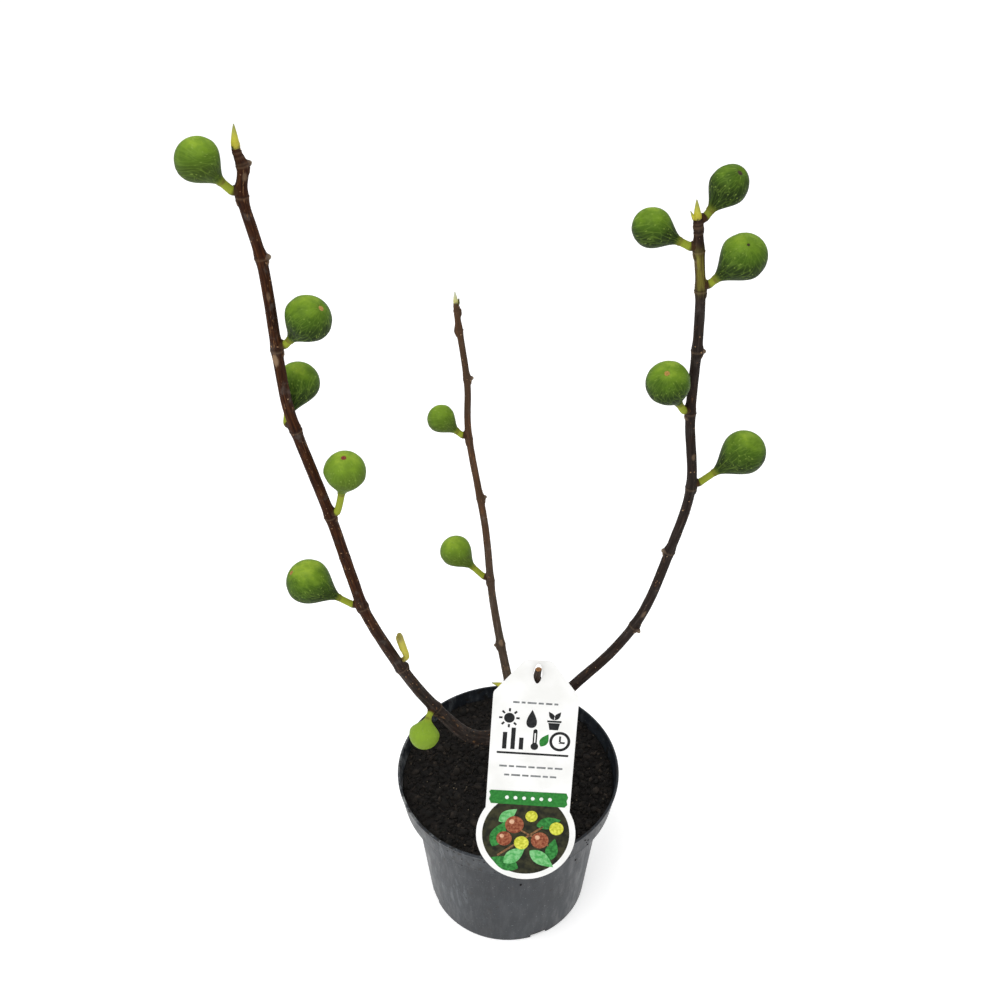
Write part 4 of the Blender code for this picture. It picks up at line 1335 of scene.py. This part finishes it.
def build_compost(peat):
    """The lumpy surface and the plug of compost under it, down to the pot's floor."""
    even = np.linspace(0, 1, COMPOST_RINGS + 1)
    shares = 0.5 * np.sqrt(even) + 0.5 * even
    profile = [(0.0, COMPOST_SIDE[0][1]), *COMPOST_SIDE]
    profile += [(COMPOST_RADIUS * share, COMPOST_TOP) for share in shares[::-1]]
    points, faces = turned(profile, COMPOST_AROUND)
    on_top = points[:, 2] > COMPOST_TOP - 0.5
    points[on_top, 2] = compost_height(points[on_top, 0], points[on_top, 1])
    make_piece("compost_fill", [(points, [face[::-1] for face in faces], {})], peat, ("compost",))


def strewing_tree():
    """Geometry Nodes: little shapes strewn over a surface, each turned and sized at random."""
    tree = bpy.data.node_groups.new("strewn_pieces", "GeometryNodeTree")
    add = partial(add_node, tree)
    tree.interface.new_socket("Pieces", in_out="OUTPUT", socket_type="NodeSocketGeometry")
    for name, kind in (
        ("Surface", "Geometry"),
        ("Per square metre", "Float"),
        ("Least size", "Float"),
        ("Most size", "Float"),
        ("Stretch", "Vector"),
        ("Lift", "Float"),
        ("Tumble", "Float"),
        ("Seed", "Int"),
        ("Shapes", "Collection"),
        ("Finish", "Material"),
    ):
        tree.interface.new_socket(name, in_out="INPUT", socket_type="NodeSocket" + kind)
    given = add("NodeGroupInput").outputs
    strewn = add(
        "GeometryNodeDistributePointsOnFaces",
        {"distribute_method": "RANDOM"},
        {"Mesh": given["Surface"], "Density": given["Per square metre"], "Seed": given["Seed"]},
    )
    size, spin, tilt = [
        add("FunctionNodeRandomValue", {"data_type": "FLOAT"}, {2: least, 3: most, "Seed": seed}).outputs[1]
        for least, most, seed in (
            (given["Least size"], given["Most size"], given["Seed"]),
            (0.0, 2 * math.pi, SPIN_SEED),
            (0.0, given["Tumble"], TILT_SEED),
        )
    ]
    lift, scale = [
        add("ShaderNodeVectorMath", {"operation": "SCALE"}, {0: vector, "Scale": times})
        for vector, times in ((strewn.outputs["Normal"], given["Lift"]), (given["Stretch"], size))
    ]
    raised = add("GeometryNodeSetPosition", inputs={"Geometry": strewn, "Offset": lift})
    turn = add("ShaderNodeCombineXYZ", inputs={0: tilt, 1: tilt, 2: spin})
    turned_by = add("FunctionNodeEulerToRotation", inputs={0: turn})
    facing = add(
        "FunctionNodeRotateRotation",
        {"rotation_space": "LOCAL"},
        {0: strewn.outputs["Rotation"], 1: turned_by},
    )
    shapes = add("GeometryNodeCollectionInfo", inputs={0: given["Shapes"], 1: True, 2: True})
    placed = add(
        "GeometryNodeInstanceOnPoints",
        inputs={"Points": raised, "Instance": shapes, "Pick Instance": True}
        | {"Rotation": facing, "Scale": scale},
    )
    solid = add("GeometryNodeRealizeInstances", inputs={0: placed})
    painted = add("GeometryNodeSetMaterial", inputs={"Geometry": solid, "Material": given["Finish"]})
    add("NodeGroupOutput", inputs={"Pieces": painted})
    return tree


def crumb_shapes(name, count, roughness, seed):
    """A hidden collection of a few irregular little lumps, each about one metre across."""
    group = bpy.data.collections.new(name)
    for index in range(count):
        work = bmesh.new()
        bmesh.ops.create_icosphere(work, subdivisions=1, radius=0.5)
        for corner in work.verts:
            corner.co *= 1 + roughness * noise.noise(corner.co * 2.6 + Vector((seed + index * 5.1, 0, 0)))
        mesh = bpy.data.meshes.new(f"{name}_{index}")
        work.to_mesh(mesh)
        work.free()
        mesh.shade_smooth()
        group.objects.link(bpy.data.objects.new(f"{name}_{index}", mesh))
    return group


def strewn_piece(name, surface, tree, looks):
    """Runs the strewing tree on a surface and hands the result over as one plain mesh.

    Looks are the finish, the shapes, how many there are per square metre, their least and most
    size and their stretch, how far they are lifted, how far they may tumble in radians, and a seed.
    """
    finish, shapes, density, least, most, stretch, lift, tumble, seed = looks
    values = {
        "Per square metre": float(density),
        "Least size": least * MM,
        "Most size": most * MM,
        "Stretch": stretch,
        "Lift": lift * MM,
        "Tumble": tumble,
        "Seed": seed,
        "Shapes": shapes,
        "Finish": finish,
    }
    carrier = in_scene(name + "_surface", surface)
    modifier = carrier.modifiers.new("strewn", "NODES")
    modifier.node_group = tree
    for item in tree.interface.items_tree:
        if item.in_out == "INPUT" and item.name in values:
            modifier[item.identifier] = values[item.name]
    hand_over(name, finished_mesh(carrier), finish)


def top_surface():
    """Only the upper face of the compost, for the crumbs to lie on."""
    rings = [(TOP_RING_STEP * ring, COMPOST_TOP) for ring in range(1, TOP_RINGS + 1)]
    points, faces = turned([(0.0, COMPOST_TOP), *rings, (0.0, 0.0)], TOP_AROUND)
    under = TOP_RINGS * TOP_AROUND + 1
    faces = [face for face in faces if under not in face]
    points[:-1, 2] = compost_height(points[:-1, 0], points[:-1, 1])
    mesh = plain_mesh("compost_top", points, faces)
    if mesh.polygons[40].normal.z < 0:
        mesh.flip_normals()
    return mesh


def build_crumbs(tree):
    """Peat crumbs, bark bits, fibres and a few pale grains over the compost."""
    surface = top_surface()
    fine = crumb_shapes("peat_crumb", 4, 0.9, 3.0)
    chips = crumb_shapes("bark_chip", 4, 1.1, 30.0)
    peat = compost_finish("peat_crumbs", ((0.35, "0c0b09"), (0.55, "181512"), (0.75, "2a231c")), 3.4)
    clod = compost_finish("clods", ((0.35, "0f0e0c"), (0.55, "1f1b17"), (0.72, "39312a")), 11.0)
    bark_bits = compost_finish("bark_bits", ((0.35, "1b1714"), (0.55, "2f2822"), (0.75, "4b4238")), 4.0)
    pale = compost_finish("pale_grains", ((0.35, "4c463c"), (0.6, "6f6555"), (0.8, "8a7f6b")), 5.0)
    for name, *looks in (
        ("peat_crumbs", peat, fine, 88000, 1.6, 6.2, (1.0, 0.82, 0.66), 0.3, 1.2, 1),
        ("bark_bits", bark_bits, chips, 9000, 2.0, 7.5, (1.0, 0.55, 0.3), 0.6, 0.7, 2),
        ("clods", clod, fine, 9000, 5.0, 11.0, (1.0, 0.85, 0.6), 0.4, 1.0, 5),
        ("fibres", bark_bits, fine, 7000, 4.0, 10.0, (1.0, 0.09, 0.09), 0.9, 0.4, 3),
        ("pale_grains", pale, fine, 2600, 0.9, 2.0, (1.0, 0.9, 0.8), 0.8, 1.5, 4),
    ):
        strewn_piece("compost_" + name, surface, tree, looks)


def build_pot_dirt(tree):
    """Peat crumbs that stuck to the front of the collar and the wall under it."""
    shapes = crumb_shapes("stuck_crumb", 3, 0.9, 80.0)
    peat = compost_finish("stuck_peat", ((0.35, "12100e"), (0.55, "211c18"), (0.75, "3a322b")), 4.0)
    bearings = np.radians(np.arange(190.0, 341.0, 5.0))
    count = len(bearings)
    faces = [[i, i + 1, count + i + 1, count + i] for i in range(count - 1)]
    shoulder = POT_HIGH - POT_COLLAR_HIGH
    collar = ((POT_COLLAR_FOOT_RADIUS, POT_RIM_RADIUS - 0.6), (shoulder + 2.0, POT_HIGH - 4.0))
    wall = ((POT_WALL_TOP_RADIUS - 2.6, POT_WALL_TOP_RADIUS - 0.1), (shoulder - 32.0, shoulder - 3.0))
    for name, (radii, heights), density in (("collar_dirt", collar, 9000), ("wall_dirt", wall, 3200)):
        rings = on_rings(bearings, np.array(radii)[:, None], np.array(heights))
        strip = plain_mesh(name + "_strip", rings.reshape(-1, 3), faces)
        looks = (peat, shapes, density, 0.7, 2.6, (1.0, 0.75, 0.4), 0.0, 0.3, DIRT_SEED)
        strewn_piece(name, strip, tree, looks)


def build_lenticels(tree, barks):
    """Small raised cork dots on the bark of trunk and stems."""
    shapes = crumb_shapes("lenticel", 3, 0.35, 60.0)
    cork = lenticel_cork()
    for seed, piece in enumerate(barks, LENTICEL_SEED):
        name = piece.name.replace("_bark", "_lenticels")
        looks = (cork, shapes, 13000, 0.5, 1.4, (1.0, 0.75, 0.34), 0.02, 0.0, seed)
        strewn_piece(name, piece.data, tree, looks)


def tag_place():
    """Where the tag's round end is and how the tag leans: it hangs on the stub and on the rim."""
    away = np.array((0.0, -math.sin(TAG_LEAN), math.cos(TAG_LEAN)))
    rise = np.array((0.0, math.cos(TAG_LEAN), math.sin(TAG_LEAN)))
    rim = np.array((0.0, -POT_RIM_RADIUS, POT_HIGH - POT_LIP_ROUND))
    middle = rim + away * (TAG_RIM_CLEAR + TAG_THICK / 2) + rise * TAG_ROUND_RISE + X_AXIS * TAG_ROUND_X
    lean = Matrix.Rotation(TAG_LEAN, 4, "X") @ Matrix.Rotation(-TAG_ROLL, 4, "Z")
    return Matrix.Translation(Vector(middle * MM)) @ lean


def printed(name, finish, level, outlines):
    """Flat shapes printed on the tag's face, as (across, up) from the middle of its round end."""
    data = bpy.data.curves.new(name, "CURVE")
    data.dimensions = "2D"
    data.fill_mode = "BOTH"
    data.extrude = INK_THICK / 2 * MM
    for outline in outlines:
        spline = data.splines.new("POLY")
        spline.points.add(len(outline) - 1)
        spline.use_cyclic_u = True
        for target, (across, up) in zip(spline.points, outline):
            target.co = (across * MM, up * MM, 0.0, 1.0)
    mesh = finished_mesh(in_scene(name + "_outline", data))
    work = bmesh.new()
    work.from_mesh(mesh)
    bmesh.ops.remove_doubles(work, verts=work.verts, dist=1e-6)
    bmesh.ops.recalc_face_normals(work, faces=work.faces)
    lift = TAG_THICK / 2 + INK_THICK * (level + 0.5)
    work.transform(tag_place() @ Matrix.Translation(Vector((0, 0, lift * MM))))
    work.to_mesh(mesh)
    work.free()
    hand_over(name, mesh, finish)


def placed_at(x, y, turn, points):
    """An outline turned by so many degrees about its origin, which goes to (x, y)."""
    cos, sin = math.cos(math.radians(turn)), math.sin(math.radians(turn))
    return [(x + a * cos - b * sin, y + a * sin + b * cos) for a, b in points]


def disc(x, y, radius, steps=40):
    """A round outline."""
    return arc(x, y, radius, 0, 360 * (1 - 1 / steps), steps - 1)


def bar(x, y, long, thick, turn=0.0):
    """A straight stroke with square ends, centred on (x, y)."""
    a, b = long / 2, thick / 2
    return placed_at(x, y, turn, [(-a, -b), (a, -b), (a, b), (-a, b)])


def leaf_shape(x, y, long, wide, turn):
    """A simple pointed leaf from its foot at (x, y)."""
    points = []
    for step in range(40):
        share = 1 - abs(1 - step / 20)
        across = wide / 2 * math.sin(math.pi * share**0.8)
        points.append((share * long, across if step <= 20 else -across))
    return placed_at(x, y, turn, points)


def drop_shape(x, y, high, wide):
    """A water drop that stands on its round end."""
    points = []
    for step in range(36):
        turn = 2 * math.pi * step / 36
        across = wide / 2 * math.sin(turn) * math.sin(turn / 2) ** 1.4
        points.append((x + across, y + high / 2 * math.cos(turn)))
    return points


def sun_sign(x, y, radius):
    """A disc with eight rays."""
    shapes = [disc(x, y, radius * 0.52)]
    for turn in range(0, 360, 45):
        out_x, out_y, _ = polar(turn, radius * 0.83)
        shapes.append(bar(x + out_x, y + out_y, radius * 0.34, radius * 0.2, turn))
    return shapes


def pot_sign(x, y, high):
    """A little pot with two leaves, as care labels show it."""
    wide = high * 0.62
    foot = y - high / 2
    low, top = wide * 0.34, wide * 0.46
    wall = [(x - low, foot), (x + low, foot), (x + top, foot + high * 0.36), (x - top, foot + high * 0.36)]
    leaves = [leaf_shape(x, foot + high * 0.52, high * 0.52, high * 0.24, turn) for turn in (55, 125)]
    return [wall, bar(x, foot + high * 0.44, wide * 1.12, high * 0.1), *leaves]


def warmth_sign(x, y, high):
    """A thermometer outline: a round bulb and a narrow tube."""
    radius = high * 0.17
    foot = y - high / 2 + radius
    outline = arc(x, y + high / 2 - radius * 0.55, radius * 0.55, 0, 180, 8)
    meet = math.degrees(math.asin(0.55))
    outline += arc(x, foot, radius, 90 + meet, 450 - meet, 24)
    return [outline, bar(x, y + high * 0.08, radius * 0.34, high * 0.46)]


def dashes_in_row(height, widths):
    """A centred row of dashes that stands for a line of small print."""
    x = -(sum(widths) + DASH_GAP * (len(widths) - 1)) / 2
    dashes = []
    for width in widths:
        dashes.append(bar(x + width / 2, height, width, DASH_THICK))
        x += width + DASH_GAP
    return dashes


def build_tag_print():
    """A plain care label: signs above a rule, two faint rows, a green band and a round picture."""
    black = ink("black_ink", "1c1d1e", "2a2b2c")
    grey = ink("grey_ink", "6c6f70", "8a8d8e")
    green = ink("green_ink", "28742f", "34883a")
    white = ink("white_ink", "e9efe8", "f6f9f5")
    signs = sun_sign(-19.5, 98.5, 8.0) + [drop_shape(-2.0, 98.8, 15.5, 11.5)] + pot_sign(15.5, 98.4, 16.0)
    signs += [bar(-22.0, 79.5, 3.4, 14.0), bar(-15.5, 81.5, 3.4, 18.0), bar(-9.0, 77.5, 3.4, 10.0)]
    signs += warmth_sign(1.5, 81.5, 17.5)
    signs += [disc(21.0, 81.0, 8.2), disc(21.0, 81.0, 6.0)]
    signs += [bar(21.0, 82.6, 1.5, 5.6), bar(22.6, 80.0, 4.6, 1.5)]
    printed("tag_black_signs", black, 0, signs)
    printed("tag_rule", black, 0, [bar(0.5, 69.3, 56.0, 1.7)])
    printed("tag_green_sign", green, 0, [leaf_shape(6.2, 76.0, 12.0, 6.6, 62)])
    rows = dashes_in_row(111.8, (5, 3, 7, 4, 5, 3))
    rows += dashes_in_row(58.0, (6, 4, 8, 5, 7, 4, 6)) + dashes_in_row(50.6, (4, 7, 5, 8, 4, 5))
    printed("tag_grey_rows", grey, 0, rows)
    band = [(-30.0, 37.0), (29.6, 37.4), (31.2, 34.0), (30.2, 31.0), (31.0, 27.6), (29.0, 25.2)]
    band += [(-29.4, 25.6), (-31.0, 29.0), (-30.0, 32.4), (-31.2, 35.4)]
    printed("tag_green_band", green, 2, [band])
    printed("tag_band_dots", white, 3, [disc(-17.0 + 6.8 * index, 31.3, 1.5, 20) for index in range(6)])
    # A made-up sprig of leaves and round berries on a dark ground, each print over the one before
    ground = [disc(0, 0, 34.7, 72)]
    stalks = [bar(-4.0, -6.0, 44.0, 1.6, 38), bar(6.0, -2.0, 30.0, 1.4, -28)]
    dark_leaves, light_leaves = [
        [leaf_shape(*leaf) for leaf in leaves]
        for leaves in (
            ((-26, -12, 24, 12, 68), (8, 8, 20, 10, 18), (-4, -30, 24, 12, 160), (20, -22, 20, 10, 80)),
            ((-16, -26, 22, 11, 42), (4, -14, 24, 11, -34), (-22, 10, 18, 9, 40)),
        )
    ]
    berries = ((-9.5, 8.0, 7.4), (11.5, -4.5, 7.0), (-17.0, -4.5, 6.2))
    brown_berries = [disc(*berry) for berry in berries]
    yellow_berries = [disc(24.0, 6.5, 5.6), disc(-3.0, -7.5, 5.8), disc(3.5, 16.0, 4.8)]
    gleams = [disc(x - radius * 0.3, y + radius * 0.35, radius * 0.28, 16) for x, y, radius in berries]
    for name, finish, level, outlines in (
        ("tag_picture_ground", ink("picture_ground", "1d1f16", "3b3a26", 5.0), 0, ground),
        ("tag_sprig", ink("picture_stalk", "6a4a30", "94704c"), 1, stalks),
        ("tag_deep_leaves", ink("picture_deep_green", "24682c", "3e9145", 2.2), 1, dark_leaves),
        ("tag_mint_leaves", ink("picture_mint", "4ea556", "86c887", 2.6), 2, light_leaves),
        ("tag_brown_berries", ink("picture_brown", "7a3a26", "a8684a", 1.8), 3, brown_berries),
        ("tag_yellow_berries", ink("picture_yellow", "b5b82e", "e2e25a"), 3, yellow_berries),
        ("tag_gleams", ink("picture_gleam", "cf9a78", "e0b79a"), 4, gleams),
    ):
        printed(name, finish, level, outlines)


def build_stage():
    """A white table lit from below, a soft key from the upper left, a weak fill and a white surround."""
    mesh = bpy.data.meshes.new("floor")
    corners = ((-1, -1), (1, -1), (1, 1), (-1, 1))
    mesh.from_pydata([(x * FLOOR_HALF, y * FLOOR_HALF, 0.0) for x, y in corners], [], [[0, 1, 2, 3]])
    glow = {"Base Color": "fcfcfc", "Emission Color": "fcfcfc", "Emission Strength": 0.42}
    mesh.materials.append(new_finish("lit_white_table", {"Roughness": 0.95} | glow)[0])
    in_scene("floor", mesh)
    world = bpy.data.worlds.new("surround")
    world.use_nodes = True
    surround = world.node_tree.nodes["Background"]
    set_inputs(world.node_tree, surround, {"Color": (1.0, 1.0, 1.0, 1.0), "Strength": 0.65})
    bpy.context.scene.world = world
    bpy.context.scene.view_settings.view_transform = "Standard"
    for name, place, size, power in LAMPS:
        data = bpy.data.lights.new(name, "AREA")
        data.shape = "DISK"
        data.size = size
        data.energy = power
        lamp = in_scene(name, data)
        lamp.location = place
        toward = Vector(LAMPS_AIM) - lamp.location
        lamp.rotation_euler = toward.to_track_quat("-Z", "Y").to_euler()


def build_camera():
    """The photograph's view: a little above the tips, looking down on the pot."""
    data = bpy.data.cameras.new("camera")
    data.lens = CAMERA_LENS
    data.sensor_width = 36.0
    camera = in_scene("camera", data)
    camera.location = CAMERA_PLACE
    camera.rotation_euler = (math.radians(90.0) - VIEW_DOWN, 0.0, 0.0)
    bpy.context.scene.camera = camera


def main():
    """Makes everything, from the camera and the light to the print on the tag."""
    build_camera()
    build_stage()
    bark = fig_bark()
    barks = [build_trunk(bark), *[build_stem(stem, bark) for stem in STEMS]]
    build_leader(bark, cut_wood())
    skin = fig_skin()
    eyes = []
    for name, fig in FIGS.items():
        eyes += eye_parts(fig, build_fig(name, fig, skin))
    make_piece("fig_eye_scales", eyes, eye_scales())
    build_buds(bud_scales(), dormant_bud())
    build_petiole(leaf_stalk())
    build_pot(moulded_grey_plastic())
    build_compost(compost_finish("damp_peat", ((0.3, "0b0a09"), (0.5, "151210"), (0.75, "241e19")), 5.0))
    tree = strewing_tree()
    build_crumbs(tree)
    build_pot_dirt(tree)
    build_lenticels(tree, barks)
    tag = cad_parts["tag"]
    tag.data.materials.clear()
    tag.data.materials.append(white_plastic_card())
    build_tag_print()


main()
